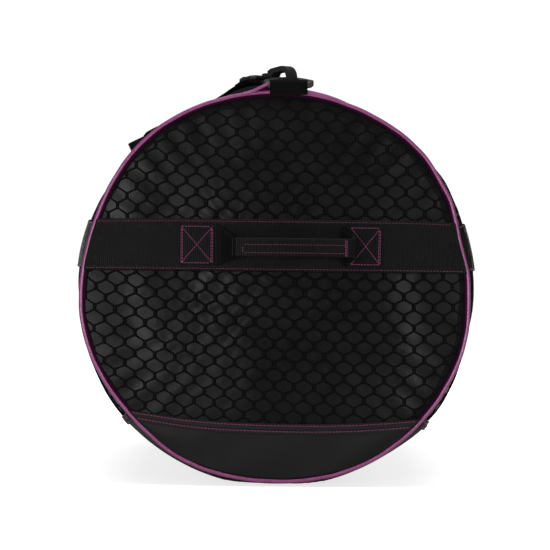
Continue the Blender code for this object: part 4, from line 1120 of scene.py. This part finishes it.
for name, sign in ENDS:
    def near_place(y, across, lift):
        return top_place(sign * y, across, lift)

    shape = sheet(near_place, lines, columns, LINING_TOP, LINING_UNDER, outside_notch)
    # The top's lining is the lighter copy of the satin: painted light.
    lining = build(name + "_top_lining", shape, LIT_BODY_LINING, "bag")
    shape = net(near_place, hold_top, (OPENING, -wide), (BODY_END, wide), (0.003, 0.0))
    netting = build(name + "_top_net", shape, NET, "bag", (name + "_top_panel",))
    start, stop = sorted((sign * TOP_START, sign * ZIP_REACH))
    tapes = [zip_tape(side, start, stop) for side in (-1, 1)]
    build(name + "_zip_end_tape", joined(*tapes), TAPE, "bag", (name + "_zip_end",))
    rows = [teeth(side, start, stop) for side in (-1, 1)]
    build(name + "_zip_end_teeth", joined(*rows), TEETH, "bag")
print("fixed end", round(deep, 4), "by", round(2 * wide, 4), "m")

# %% [markdown]
# The handle is a length of 38 mm webbing. Both ends are sewn flat on the band with a crossed box, and its
# middle is folded edge to edge into a narrow grip. It was pushed over to the right, so that the left leg
# slopes out and the right leg stands up and doubles back. A flat strip with a bump could hint at the fold,
# but here it is real: each section of the webbing is bent round its two creases.
# %% The handle's webbing
HANDLE_WIDE, HANDLE_RIB = 0.038, 0.0001
CREASE, UNFOLDED, CREASE_ROUND, FOLD_STEPS = 0.47, 1.07, 0.07, 64


def folded(share):
    """Section of the webbing as (height, behind, turn), its edges laid back behind two creases."""
    crease = UNFOLDED + (CREASE - UNFOLDED) * share
    line = []
    for way in (-1, 1):
        height = behind = 0.0
        half = []
        step = HANDLE_WIDE / 2 / FOLD_STEPS
        for number in range(FOLD_STEPS + 1):
            reach = number / FOLD_STEPS
            angle = math.pi * 0.985 * clamp((reach - crease + CREASE_ROUND) / (2 * CREASE_ROUND))
            half.append((way * height, behind, way * angle))
            height += step * math.cos(angle)
            behind += step * math.sin(angle)
        line.append(half[::4])
    return line[0][::-1][:-1] + line[1]


def handle_strip(sign, stops):
    """Webbing through stops of (x, reach, level, share of fold, heading), standing off one end."""
    rings, laid = [], []
    run = 0.0
    for index, (x, reach, level, share, heading) in enumerate(stops):
        turn = math.hypot(*heading)
        facing = Vector((heading[1] / turn, sign * heading[0] / turn, 0))
        if index:
            run += math.hypot(x - stops[index - 1][0], reach - stops[index - 1][1])
        ridge = HANDLE_RIB if index % 2 else -HANDLE_RIB
        section = folded(share)
        front, back = [], []
        for height, behind, angle in section:
            spot = Vector((x, sign * reach, level + height)) - facing * behind
            out = facing * math.cos(angle) + Vector((0, 0, 1)) * math.sin(angle)
            front.append(spot + out * (WEB / 2 - HANDLE_RIB + ridge))
            back.append(spot - out * (WEB / 2 - 2 * HANDLE_RIB))
        rings.append(front + back[::-1])
        width = spread(-HANDLE_WIDE / 2, HANDLE_WIDE / 2, len(section))
        laid += [(run, v) for v in width] + [(run, v) for v in width[::-1]]
    return loft(rings, laid)


def leg_course(stops):
    """Even steps along a smooth line through stops of (x, reach, level, share of fold)."""
    up = Vector((0, 0, 1))
    line = smooth([(Vector((x, reach, level, 0.001 * share)), up) for x, reach, level, share in stops], 24)
    fine = [place for place, _, _ in along(line, RIB / 2)]
    out = []
    for index, place in enumerate(fine):
        before, after = fine[max(index - 1, 0)], fine[min(index + 1, len(fine) - 1)]
        share = clamp(1000 * place[3])
        out.append((place.x, place.y, place.z, share, (after.x - before.x, before.y - after.y)))
    return out


print("handle webbing", HANDLE_WIDE, "m wide, folded to", round(2 * max(spot[0] for spot in folded(1)), 4))

# %% [markdown]
# Each end of the handle is sewn down with a box and a cross of magenta thread. The left box has two
# doubled sides and the right one has one, as in the photograph. The rows are listed as lines and stitched
# by the same tool as all the others, so that the thread matches.
# %% Anchors and their crossed boxes
SEAT, BOX_INSET, BOX_DOUBLED, BOX_STITCH = 0.0022, 0.0016, 0.0013, 0.0030
anchor_low, anchor_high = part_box("front_handle_left_anchor")
right_low, right_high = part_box("front_handle_right_anchor")
LEVEL = (anchor_low.z + anchor_high.z) / 2


def crossed_box(low, high, inner_side):
    """Lines of a sewn box with doubled sides and a cross, as pairs of (x, z)."""
    rows = [[(low[0], low[1]), (high[0], low[1])], [(low[0], high[1]), (high[0], high[1])],
            [(low[0], low[1]), (high[0], high[1])], [(low[0], high[1]), (high[0], low[1])]]
    sides = [low[0], low[0] + BOX_DOUBLED] if inner_side else []
    for x in sides + [high[0] - BOX_DOUBLED, high[0]]:
        rows.append([(x, low[1]), (x, high[1])])
    return rows


def anchor_lift(x, z):
    return web_height(SEAT, x, HANDLE_WIDE / 2 - abs(z - LEVEL))


for name, sign in ENDS:
    facing = Vector((0, sign, 0))
    rows = []
    for side, low, high in (("left", anchor_low, anchor_high), ("right", right_low, right_high)):
        levels = web_levels(low.z, high.z, 6)
        shape = sheet(on_end(sign), ribs(low.x, high.x), levels, anchor_lift, SEAT - 0.0003)
        build(f"{name}_{side}_anchor", shape, WEBBING, "bag", (f"{name}_handle_{side}_anchor",))
        corners = (low.x + BOX_INSET, low.z + BOX_INSET), (high.x - BOX_INSET, high.z - BOX_INSET)
        for (x0, z0), (x1, z1) in crossed_box(*corners, side == "left"):
            line = [(end(sign, x0 + (x1 - x0) * t, z0 + (z1 - z0) * t, SEAT + WEB + 0.0001), facing)
                    for t in spread(0, 1, 16)]
            rows.append(stitches(line, BOX_STITCH))
    build(name + "_anchor_stitches", joined(*rows), THREAD, "bag")
print("anchors", round(anchor_high.x - anchor_low.x, 4), round(right_high.x - right_low.x, 4), "m long")

# %% [markdown]
# The grip is the folded middle of the handle. Two rows of stitches run along it, with a bar across the
# left end and two across the right. It bows out a little in the middle, as a hand leaves it.
# %% Grips
grip_low, grip_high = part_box("front_handle_grip")
GRIP_LEFT, GRIP_RIGHT = grip_low.x, grip_high.x
GRIP_LEVEL = (grip_low.z + grip_high.z) / 2
GRIP_BOW = 0.003
GRIP_REACH = -grip_low.y - 0.0026 - GRIP_BOW
GRIP_STITCH, BAR_STITCH = 0.0031, 0.0026
GRIP_ROWS = (0.0026, -0.0051)
GRIP_BARS = ((GRIP_LEFT + 0.0076, -0.0047, 0.0022), (GRIP_RIGHT - 0.0025, -0.0085, 0.0085),
             (GRIP_RIGHT - 0.0037, -0.0080, 0.0080))


def grip_reach(x):
    middle, half = (GRIP_LEFT + GRIP_RIGHT) / 2, (GRIP_RIGHT - GRIP_LEFT) / 2
    return GRIP_REACH + GRIP_BOW * (1 - ((x - middle) / half) ** 2)


for name, sign in ENDS:
    def thread_place(x, rise):
        return Vector((x, sign * (grip_reach(x) + WEB / 2 + 0.0001), GRIP_LEVEL + rise))

    stops = [(x, grip_reach(x), GRIP_LEVEL, 1.0) for x in spread(GRIP_LEFT, GRIP_RIGHT, 9)]
    shape = handle_strip(sign, leg_course(stops))
    build(name + "_grip", shape, WEBBING, name + "_handle", (name + "_handle_grip",))
    facing = Vector((0, sign, 0))
    rows = []
    for rise in GRIP_ROWS:
        line = [(thread_place(x, rise), facing) for x in spread(GRIP_LEFT + 0.0086, GRIP_RIGHT - 0.002, 40)]
        rows.append(stitches(line, GRIP_STITCH, SHORT_STITCH, SUNK_THREAD))
    for x, foot_rise, top_rise in GRIP_BARS:
        line = [(thread_place(x, rise), facing) for rise in spread(foot_rise, top_rise, 9)]
        rows.append(stitches(line, BAR_STITCH))
    build(name + "_grip_stitches", joined(*rows), THREAD, name + "_handle")
print("handle grip", round(GRIP_RIGHT - GRIP_LEFT, 3), "m long at", round(GRIP_LEVEL, 4))

# %% [markdown]
# The legs join the anchors to the grip and unfold on the way. Each is built where it lies and rides on
# no body.
# %% Handle legs
FOOT = END + DOME + SEAT + WEB / 2
LEG_LAP = 0.0005
rise, drop, out = GRIP_REACH - FOOT, GRIP_LEVEL - LEVEL, HANDLE_WIDE / 10


def foot_reach(x):
    """How far out the handle's foot sits on the end's dome."""
    return FOOT - DOME * ((x ** 2 + (LEVEL - AXIS) ** 2) / DISC ** 2)


start = anchor_high.x - LEG_LAP
run, foot = GRIP_LEFT - start, foot_reach(start)
left_stops = [
    (start, foot, LEVEL, 0.0), (start + 0.16 * run, foot + 0.0012, LEVEL, 0.06),
    (start + 0.42 * run, foot + 0.30 * rise, LEVEL + 0.3 * drop, 0.38),
    (start + 0.72 * run, foot + 0.78 * rise, LEVEL + 0.7 * drop, 0.74),
    (start + 0.90 * run, GRIP_REACH - 0.0006, GRIP_LEVEL, 0.94), (GRIP_LEFT, GRIP_REACH, GRIP_LEVEL, 1.0),
]
# The left leg uses the lighter webbing: painted light where it faces the left lamp.
left_leg = ("left", LIT_SIDE_WEB, left_stops, start, GRIP_LEFT)
start = right_low.x + LEG_LAP
foot = foot_reach(start)
right_stops = [
    (GRIP_RIGHT, GRIP_REACH, GRIP_LEVEL, 1.0),
    (GRIP_RIGHT + 1.4 * out, GRIP_REACH - 0.0024, GRIP_LEVEL, 0.86),
    (GRIP_RIGHT + 1.1 * out, GRIP_REACH - 0.24 * rise, GRIP_LEVEL - 0.2 * drop, 0.72),
    (start - 0.9 * out, foot + 0.44 * rise, LEVEL + 0.3 * drop, 0.5),
    (start - 1.1 * out, foot + 0.15 * rise, LEVEL, 0.2), (start, foot, LEVEL, 0.0),
]
right_leg = ("right", WEBBING, right_stops, start, GRIP_RIGHT)
for name, sign in ENDS:
    for side, material, stops, start, grip_x in (left_leg, right_leg):
        shape = handle_strip(sign, leg_course(stops))
        leg = build(f"{name}_{side}_leg", shape, material, None, (f"{name}_handle_{side}_leg",))
        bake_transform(leg)
print("handles", len(ENDS), "standing off", round(rise, 4), "m")

# %% [markdown]
# A plastic D-ring lies back over the bag at each end. It is moulded as one D: a round bar inside the tab,
# flat-sided shoulders, and a bow that is round and a little slimmer where the hook rides on it. One
# cord with a changing section gives all three, where joined primitives would leave seams.
# %% D-rings
ROD = 0.0064
ring_low, ring_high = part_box("front_d_ring")
TAB_X = (ring_low.x + ring_high.x) / 2
RING_HALF = (ring_high.x - ring_low.x - ROD) / 2
BAR_Z = next(j for j in frame["joints"] if j["name"] == "front_ring_rock")["pos_m"][2]
PITCH = math.radians(16)
SHOULDER_RISE, SHOULDER_RUN = 0.0013, 0.0031
BOW_DEPTH, TAB_INSIDE, BOW_WAIST = 0.024, 0.0185, 0.09


def near_end(sign, x, depth, z):
    """A place measured in from an end's seam plane."""
    return Vector((x, sign * (END - depth), z))


def flatness(x, reach):
    """The section's power: 1 is round, inside the tab and under the hook, and 0.6 flat-sided."""
    if abs(x) < TAB_INSIDE and reach < 0.001:
        return 1.0
    return 0.6 + 0.4 * clamp((reach / BOW_DEPTH - 0.20) / 0.30)


def rod_radius(reach):
    """The bow is a touch slimmer than the bar, which leaves the hook room to swivel."""
    return ROD / 2 * (1 - BOW_WAIST * clamp((reach / BOW_DEPTH - 0.5) / 0.3))


line = []
for turn in spread(14, 166, 29):
    angle = math.radians(turn)
    line.append((RING_HALF * math.cos(angle), BOW_DEPTH * math.sin(angle)))
line += [(-RING_HALF + 0.0009, 0.0030), (-RING_HALF + 0.0022, 0.0009), (-RING_HALF + 0.0042, 0.0)]
line += [(x, 0.0) for x in spread(-0.012, 0.012, 5)]
line += [(RING_HALF - 0.0042, 0.0), (RING_HALF - 0.0022, 0.0009), (RING_HALF - 0.0009, 0.0030)]
for name, sign in ENDS:
    facing = Vector((0, sign * math.sin(PITCH), math.cos(PITCH)))
    course = []
    for x, reach in line:
        shoulder = SHOULDER_RISE * clamp((abs(x) - TAB_INSIDE) / SHOULDER_RUN) * (1 - reach / BOW_DEPTH)
        rise = reach * math.sin(PITCH) + shoulder
        course.append((near_end(sign, TAB_X + x, reach * math.cos(PITCH), BAR_Z + rise), facing))
    shape = cord(course, lambda t: rod_radius(line[round(t * (len(line) - 1))][1]), 16, True,
                 lambda index: flatness(*line[index]))
    build(name + "_ring", shape, RING_PLASTIC, name + "_d_ring", (name + "_d_ring",))
print("ring", round(2 * RING_HALF, 4), "m across")

# %% [markdown]
# A webbing tab is sewn over the top of each end seam and carries the ring's bar in its loop. The strip
# follows a path round the bar, and then its tail is bent down to the barrel's curve, because flat
# webbing would stand off the bag at both edges.
# %% Ring tabs
BAR_EASE, TAB_RIB = 0.0003, 0.00004
tab_low, tab_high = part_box("front_ring_tab")
loop = ROD / 2 + BAR_EASE + WEB / 2
tail = AXIS + SEAM + 0.0011
path = [(-0.0040, AXIS + RIM - CORD / 2 - 0.0002), (-0.0042, AXIS + RIM)]
path += [(-loop * math.cos(a), BAR_Z + loop * math.sin(a)) for a in spread(0, math.pi, 17)]
path += [(loop + 0.0001, tail + 2 * WEB), (loop + 0.0009, tail + 0.6 * WEB), (loop + 2.2 * WEB, tail),
         (0.0115, tail), (0.0165, tail)]
for name, sign in ENDS:
    course = []
    for index, (depth, z) in enumerate(path):
        before, after = path[max(index - 1, 0)], path[min(index + 1, len(path) - 1)]
        face = Vector((0, sign * (after[1] - before[1]), after[0] - before[0])).normalized()
        course.append((near_end(sign, TAB_X, depth, z), face))
    points, faces, laid = webbing(course, tab_high.x - tab_low.x, WEB, TAB_RIB)
    for point in points:
        depth = END - abs(point.y)
        share = clamp((depth - 0.002) / 0.006)
        point.z -= share * (point.x ** 2 - TAB_X ** 2) / (2 * SEAM)
    build(name + "_tab", (points, faces, laid), TAB_WEB, "bag", (name + "_ring_tab",))
print("tab", round(tab_high.x - tab_low.x, 4), "m wide")

# %% [markdown]
# The hooks, their gates and loops, the strap's adjuster, the zip slider and its pull are moulded or cast.
# They could be modelled again, but their solids are right in shape, so they stay, with their edges
# rounded as a mould leaves them.
# %% Hooks, adjuster, slider and pull
def moulded(node, material, radius):
    piece = frame["nodes"][node]
    weld = piece.modifiers.new("weld", "WELD")
    weld.merge_threshold = 0.00001
    edges = piece.modifiers.new("rounded_edges", "BEVEL")
    edges.width, edges.segments = radius, 3
    edges.limit_method, edges.angle_limit = "ANGLE", math.radians(24)
    piece.data.materials.clear()
    piece.data.materials.append(material)


for name, _ in ENDS:
    for node, radius in (("_hook", 0.0010), ("_gate", 0.0007), ("_hook_loop", 0.0006)):
        moulded(name + node, PLASTIC, radius)
moulded("strap_adjuster", PLASTIC, 0.0006)
moulded("zip_slider", ENAMEL, 0.0005)
moulded("zip_pull", ENAMEL, 0.0004)
rounded_nodes = [node for node, piece in frame["nodes"].items() if "rounded_edges" in piece.modifiers]
print("moulded pieces", rounded_nodes)

# %% [markdown]
# The shoulder strap is 30 mm webbing. It leaves the front hook, runs down the left side and along the
# flank under its pad's keepers, through the adjuster, and back up to the rear hook. It could be dropped on
# the bag as simulated cloth, but then it would miss the pad, the adjuster and the hooks, so its course is
# a smooth line through places on them.
# %% The strap's places
STRAP, STRAP_THICK, STRAP_EASE = 0.030, 0.0018, 0.0006
swivel = next(j for j in frame["joints"] if j["name"] == "front_hook_swivel")
NOSE = Vector(swivel["axis"])
HOOK_UP = (Vector((0, 0, 1)) - NOSE * NOSE.z).normalized()
EYE = Vector(swivel["pos_m"]) + NOSE * 0.019
BEND = math.radians(13)
LOOP_BACK = 0.0422
PAD_TURN = math.radians(-30)
PAD_LOW, PAD_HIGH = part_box("shoulder_pad")
PAD_WIDE, PAD_HUG, HUG_REACH = 0.066, 0.0010, 0.060
PAD_MIDDLE = PAD_WIDE / 2 - 0.0048


def on_hook(sign, back, up):
    place = EYE - NOSE * back + HOOK_UP * up
    return Vector((place.x, -sign * place.y, place.z))


def strap_end_place(sign, past, lift=0.0):
    """A place past the loop bar in line with the strap's doubled end, and its facing."""
    back = LOOP_BACK + math.cos(BEND) * past + math.sin(BEND) * lift
    up = -math.sin(BEND) * past + math.cos(BEND) * lift
    face = on_hook(sign, math.sin(BEND), math.cos(BEND)) - on_hook(sign, 0, 0)
    return on_hook(sign, back, up), face.normalized()


def flank(turn, y, lift):
    """A place off the barrel's flank, with the directions outwards and down the slope."""
    step = math.radians(0.5)
    slope = (barrel(turn - step, y) - barrel(turn + step, y)).normalized()
    outward = Vector((0, 1, 0)).cross(slope)
    return barrel(turn, y) + outward * lift, outward, slope


def pad_place(y, across, lift):
    contact, outward, slope = flank(PAD_TURN, y, 0.0003)
    hug = PAD_HUG * (max(across, 0.0) / HUG_REACH) ** 2
    return contact + slope * across + outward * (lift - hug), outward


def strap_spot(turn, y, lift):
    return flank(math.radians(turn), y, lift)[:2]


print("loop bar at", tuple(round(v, 4) for v in strap_end_place(-1, 0)[0]))

# %% Strap
FLANK_TURN, END_LAP, PAD_CHANNEL, ADJUSTER_BAR = -37, 0.013, 0.0079, 0.0026
adjuster_low, adjuster_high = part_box("strap_adjuster")
ADJUSTER_Y = (adjuster_low.y + adjuster_high.y) / 2
ADJUSTER_HALF = (adjuster_high.y - adjuster_low.y) / 2
flat = STRAP_THICK / 2 + STRAP_EASE
over_bar = flat + STRAP_THICK + STRAP_EASE + ADJUSTER_BAR
front_stops = [strap_end_place(-1, END_LAP + STRAP / 3)]
for inset, turn, lift in ((0.105, -17.5, 0.0055), (0.140, -27.5, 0.0060), (0.168, -33.5, 0.0085)):
    front_stops.append(strap_spot(turn, inset - END, lift))
for y in (PAD_LOW.y + 0.010, (PAD_LOW.y + PAD_HIGH.y) / 2, PAD_HIGH.y - 0.010):
    front_stops.append(pad_place(y, PAD_MIDDLE, PAD_CHANNEL + STRAP_THICK / 2))
front_stops.append(strap_spot(FLANK_TURN, PAD_HIGH.y + 0.032, flat + 0.004))
front_stops.append(strap_spot(FLANK_TURN, ADJUSTER_Y - ADJUSTER_HALF - 0.010, flat))
threaded = [strap_spot(FLANK_TURN, ADJUSTER_Y + away, lift)
            for away, lift in ((-0.014, flat), (-0.003, over_bar), (0.003, over_bar), (0.014, flat))]
rear_stops = [strap_spot(FLANK_TURN, ADJUSTER_Y + ADJUSTER_HALF + 0.010, flat)]
for inset, turn, lift in ((0.160, -34.0, 0.0025), (0.132, -27.5, 0.0035), (0.105, -17.5, 0.0055)):
    rear_stops.append(strap_spot(turn, END - inset, lift))
rear_stops.append(strap_end_place(1, END_LAP + STRAP / 3))
course = [strap_end_place(-1, END_LAP + 0.0006)] + smooth(front_stops, 16) + threaded
course += smooth(rear_stops, 16) + [strap_end_place(1, END_LAP + 0.0006)]
build("carry_strap", webbing(course, STRAP, STRAP_THICK), WEBBING, "strap", ("shoulder_strap",))
print("strap", round(sum((b[0] - a[0]).length for a, b in zip(course, course[1:])), 3), "m")

# %% [markdown]
# Each end of the strap is doubled round the hook's loop bar. It is built where it lies and rides on no
# body.
# %% The strap's doubled ends
LOOP_BAR, LOOP_EASE, LAP_START = 0.0026, 0.0003, 0.005
loop = LOOP_BAR + LOOP_EASE + WEB / 2
layer = WEB / 2 + LOOP_EASE / 2
for name, sign in ENDS:
    middle = strap_end_place(sign, 0)[0]
    doubled = []
    for past in spread(END_LAP, LAP_START, 4):
        place, face = strap_end_place(sign, past, -layer)
        doubled.append((place, -face))
    for turn in spread(math.pi, 0, 13):
        place = strap_end_place(sign, -loop * math.sin(turn), loop * math.cos(turn))[0]
        doubled.append((place, (place - middle).normalized()))
    doubled += [strap_end_place(sign, past, layer) for past in spread(LAP_START, END_LAP, 4)]
    piece = build(name + "_doubled_end", webbing(doubled, STRAP, WEB), WEBBING, None,
                  (name + "_strap_end",))
    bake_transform(piece)
print("doubled ends", round(2 * loop + WEB, 4), "m over the bar")

# %% [markdown]
# The shoulder pad is foam between two layers of cloth, quilted along two rows and bound round its edge
# with a ribbed tape. A short cloth simulation blows the upper cloth up from inside while its edge and its
# two sewn rows are held, so that it swells between them as foam does. Its movement is capped, because the
# strap lies on it.
# %% Shoulder pad
PAD_EDGE, PAD_QUILT, QUILT_END = 0.0078, 0.56, 0.94
PAD_INSET, PAD_SWELL, PAD_PRESSURE, SWELL_FRAMES = 0.0008, 0.0011, 4, 20
PAD_HALF = (PAD_HIGH.y - PAD_LOW.y) / 2


def pad_point(share, u, lift):
    y = (PAD_LOW.y + PAD_HIGH.y) / 2 + share * (PAD_HALF - PAD_INSET)
    return pad_place(y, PAD_MIDDLE + u * (PAD_WIDE / 2 - PAD_INSET), lift)[0]


def pad_top(share, u):
    sewn = 0.0018 * math.exp(-((abs(u) - PAD_QUILT) / 0.07) ** 2)
    under_strap = 0.0013 * (abs(u) < PAD_QUILT - 0.05)
    return PAD_EDGE - (sewn + under_strap) * (abs(share) < QUILT_END)


def swell(piece, held, pressure, cap):
    """Blow a closed piece up from inside with cloth simulation, and keep each point within cap."""
    piece.vertex_groups.new(name="sewn").add(held, 1.0, "REPLACE")
    cloth = piece.modifiers.new("swell", "CLOTH")
    cloth.settings.vertex_group_mass = "sewn"
    cloth.settings.use_pressure = True
    cloth.settings.uniform_pressure_force = pressure
    cloth.settings.effector_weights.gravity = 0
    for number in range(1, SWELL_FRAMES + 1):
        bpy.context.scene.frame_set(number)
    blown = piece.evaluated_get(bpy.context.evaluated_depsgraph_get()).data
    moved = [blown_at.co - rest.co for blown_at, rest in zip(blown.vertices, piece.data.vertices)]
    piece.modifiers.remove(cloth)
    piece.vertex_groups.clear()
    bpy.context.scene.frame_set(1)
    for vertex, move in zip(piece.data.vertices, moved):
        vertex.co += move * min(1.0, cap / max(move.length, 1e-9))
    return max(move.length for move in moved)


shares, us = spread(-1, 1, 61), sorted({round(u, 4) for u in spread(-1, 1, 19)} | {PAD_QUILT, -PAD_QUILT})
pad = build("strap_pad", sheet(pad_point, shares, us, pad_top, 0.0), PAD, None, ("shoulder_pad",))
held = []
for row, share in enumerate(shares):
    for column, u in enumerate(us):
        sewn = abs(u) == PAD_QUILT and abs(share) < QUILT_END
        if sewn or abs(share) == 1 or abs(u) == 1:
            held.append(row * len(us) + column)
held += range(len(shares) * len(us), 2 * len(shares) * len(us))
print("pad cloth moved", round(1000 * swell(pad, held, PAD_PRESSURE, PAD_SWELL), 2), "mm before the cap")
rounded = pad.modifiers.new("rounded", "SUBSURF")
rounded.levels = rounded.render_levels = 1
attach(pad, "strap")
print("pad", round(2 * PAD_HALF, 3), "m long, held at", len(held), "points")

# %% [markdown]
# Magenta stitches lie in the pad's two quilted rows, its binding is webbing stood on edge round the
# rim, and two keepers hold the strap down on it. All of them take their places from the pad's own
# functions, so they stay on it when it is moved.
# %% The pad's stitches, binding and keepers
CORNER, BINDING_THICK, KEEPER_WIDE, PAD_STITCH = 0.004, 0.0014, 0.022, 0.0036
outward, down_slope = flank(PAD_TURN, 0, 0)[1:]
rows = []
for u in (-PAD_QUILT, PAD_QUILT):
    line = [(pad_point(share, u, pad_top(share, u) + 0.0004), outward) for share in spread(-0.93, 0.93, 80)]
    rows.append(stitches(line, PAD_STITCH))
build("pad_stitches", joined(*rows), THREAD, "strap")
course = []
for quarter, (along_y, across) in enumerate(((1, 1), (-1, 1), (-1, -1), (1, -1))):
    for turn in spread(quarter * 90, quarter * 90 + 90, 9):
        side_y, side_x = math.cos(math.radians(turn)), math.sin(math.radians(turn))
        y = (PAD_LOW.y + PAD_HIGH.y) / 2 + along_y * (PAD_HALF - CORNER) + CORNER * side_y
        place = pad_place(y, PAD_MIDDLE + across * (PAD_WIDE / 2 - CORNER) + CORNER * side_x, PAD_EDGE / 2)[0]
        course.append((place, Vector((0, side_y, 0)) + down_slope * side_x))
build("pad_binding", webbing(course + course[:1], PAD_EDGE, BINDING_THICK), WEBBING, "strap")
keepers = []
over_strap = PAD_CHANNEL + STRAP_THICK + WEB / 2 + 0.0002
for share in (-0.55, 0.55):
    sewn_down = pad_top(share, PAD_QUILT) + 0.0012
    stops = []
    for u, lift in ((-0.62, 0.0), (-0.56, 0.0), (-0.51, 0.4), (-0.46, 0.9), (-0.40, 1.0), (0.0, 1.0),
                    (0.40, 1.0), (0.46, 0.9), (0.51, 0.4), (0.56, 0.0), (0.62, 0.0)):
        stops.append((pad_point(share, u, sewn_down + (over_strap - sewn_down) * lift), outward))
    keepers.append(webbing(smooth(stops, 6), KEEPER_WIDE, WEB))
build("pad_keepers", joined(*keepers), WEBBING, "strap")
print("keepers", len(keepers))

# %% [markdown]
# The bag lies on a pale studio floor that fades to white away from it. A shadow catcher over a white
# picture could stand for it, but a floor whose glow only the camera sees keeps the soft shadow, and the
# glow adds no light to the bag.
# %% Floor
FLOOR_REACH, FLOOR_SIDES, FLOOR_LEVEL = 12, 64, -0.0002
rim = [(FLOOR_REACH * math.cos(t), FLOOR_REACH * math.sin(t), FLOOR_LEVEL) for t in full_turn(FLOOR_SIDES)]
floor_mesh = bpy.data.meshes.new("studio_floor")
floor_mesh.from_pydata(rim, [], [list(range(FLOOR_SIDES))])
floor = bpy.data.objects.new("studio_floor", floor_mesh)
bpy.context.scene.collection.objects.link(floor)
paper = bpy.data.materials.new("floor_paper")
paper.use_nodes = True
nodes, links = paper.node_tree.nodes, paper.node_tree.links
shader = nodes["Principled BSDF"]
shader.inputs["Base Color"].default_value = (0.86, 0.86, 0.86, 1)
shader.inputs["Roughness"].default_value = 0.9
shader.inputs["Specular IOR Level"].default_value = 0.1
seen = nodes.new("ShaderNodeLightPath")
spot = nodes.new("ShaderNodeTexCoord")
away = nodes.new("ShaderNodeVectorMath")
away.operation = "LENGTH"
fall = nodes.new("ShaderNodeMapRange")
for label, value in (("From Min", 0.42), ("From Max", 0.9), ("To Min", 0.74), ("To Max", 1.0)):
    fall.inputs[label].default_value = value
brightness = nodes.new("ShaderNodeCombineColor")
glow = nodes.new("ShaderNodeEmission")
dark = nodes.new("ShaderNodeEmission")
dark.inputs["Strength"].default_value = 0.0
pick = nodes.new("ShaderNodeMixShader")
total = nodes.new("ShaderNodeAddShader")
for channel in range(3):
    links.new(fall.outputs["Result"], brightness.inputs[channel])
for start, stop in (
    (spot.outputs["Object"], away.inputs[0]), (away.outputs["Value"], fall.inputs["Value"]),
    (brightness.outputs[0], glow.inputs["Color"]), (seen.outputs["Is Camera Ray"], pick.inputs[0]),
    (dark.outputs[0], pick.inputs[1]), (glow.outputs[0], pick.inputs[2]),
    (shader.outputs[0], total.inputs[0]), (pick.outputs[0], total.inputs[1]),
    (total.outputs[0], nodes["Material Output"].inputs["Surface"]),
):
    links.new(start, stop)
floor_mesh.materials.append(paper)
print("floor", 2 * FLOOR_REACH, "m across")

# %% [markdown]
# Behind the bag the camera sees plain white, while the sky that lights it is dim. One background
# for both would either grey the picture or wash out the black cloth.
# %% Backdrop
SKY, WHITE = 0.21, 1.05
world = bpy.data.worlds.new("studio")
bpy.context.scene.world = world
world.use_nodes = True
nodes, links = world.node_tree.nodes, world.node_tree.links
sky, white = nodes["Background"], nodes.new("ShaderNodeBackground")
for background, strength in ((sky, SKY), (white, WHITE)):
    background.inputs["Color"].default_value = (1, 1, 1, 1)
    background.inputs["Strength"].default_value = strength
seen = nodes.new("ShaderNodeLightPath")
pick = nodes.new("ShaderNodeMixShader")
links.new(seen.outputs["Is Camera Ray"], pick.inputs[0])
links.new(sky.outputs[0], pick.inputs[1])
links.new(white.outputs[0], pick.inputs[2])
links.new(pick.outputs[0], nodes["World Output"].inputs["Surface"])
print("sky", SKY, "and white", WHITE)


# %% [markdown]
# The light is soft: a large lamp overhead and a tall one at each side of the camera, which catch the
# satin lining at the left and right of the end as in the photograph. Two more do the same for the rear. A
# picture of a studio could light it too, but single lamps can be moved one at a time.
# %% Light and camera
def lamp(name, place, aim, size, power):
    light = bpy.data.lights.new(name, "AREA")
    light.shape = "RECTANGLE"
    light.size, light.size_y = size
    light.energy = power
    obj = bpy.data.objects.new(name, light)
    obj.location = place
    obj.rotation_euler = (Vector(aim) - Vector(place)).to_track_quat("-Z", "Y").to_euler()
    bpy.context.scene.collection.objects.link(obj)
    return obj


FRONT_AIM, REAR_AIM, TALL_LAMP = (0, -0.38, 0.18), (0, 0.38, 0.18), (0.5, 0.8)
lamps = [
    lamp("overhead_light", (0, -0.5, 2.6), (0, 0, 0.2), (2.6, 2.2), 38),
    lamp("left_light", (-0.95, -3.1, 0.22), FRONT_AIM, TALL_LAMP, 31),
    lamp("right_light", (1.10, -3.1, 0.20), FRONT_AIM, TALL_LAMP, 21),
    lamp("rear_left_light", (-1.10, 3.1, 0.3), REAR_AIM, TALL_LAMP, 20),
    lamp("rear_right_light", (0.80, 3.1, 0.3), REAR_AIM, TALL_LAMP, 28),
]
view = bpy.data.cameras.new("photo_view")
CAMERA_ASIDE, CAMERA_AWAY, CAMERA_LEVEL, CAMERA_TILT = -0.00114, 2.5, 0.2026, -0.011
view.lens, view.sensor_width = 170.9, 36.0
camera = bpy.data.objects.new("photo_view", view)
camera.location = (CAMERA_ASIDE, -END - CAMERA_AWAY, CAMERA_LEVEL)
camera.rotation_euler = (math.pi / 2, CAMERA_TILT, 0)
bpy.context.scene.collection.objects.link(camera)
bpy.context.scene.camera = camera
bpy.context.scene.view_settings.view_transform = "Standard"
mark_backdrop(floor, camera, *lamps)
print("lamps", len(lamps))

# %% [markdown]
# Last, the size of the box round the dressed bag is printed.
# %% Size
low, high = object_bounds()
print("dressed", [round(v, 4) for v in high - low])
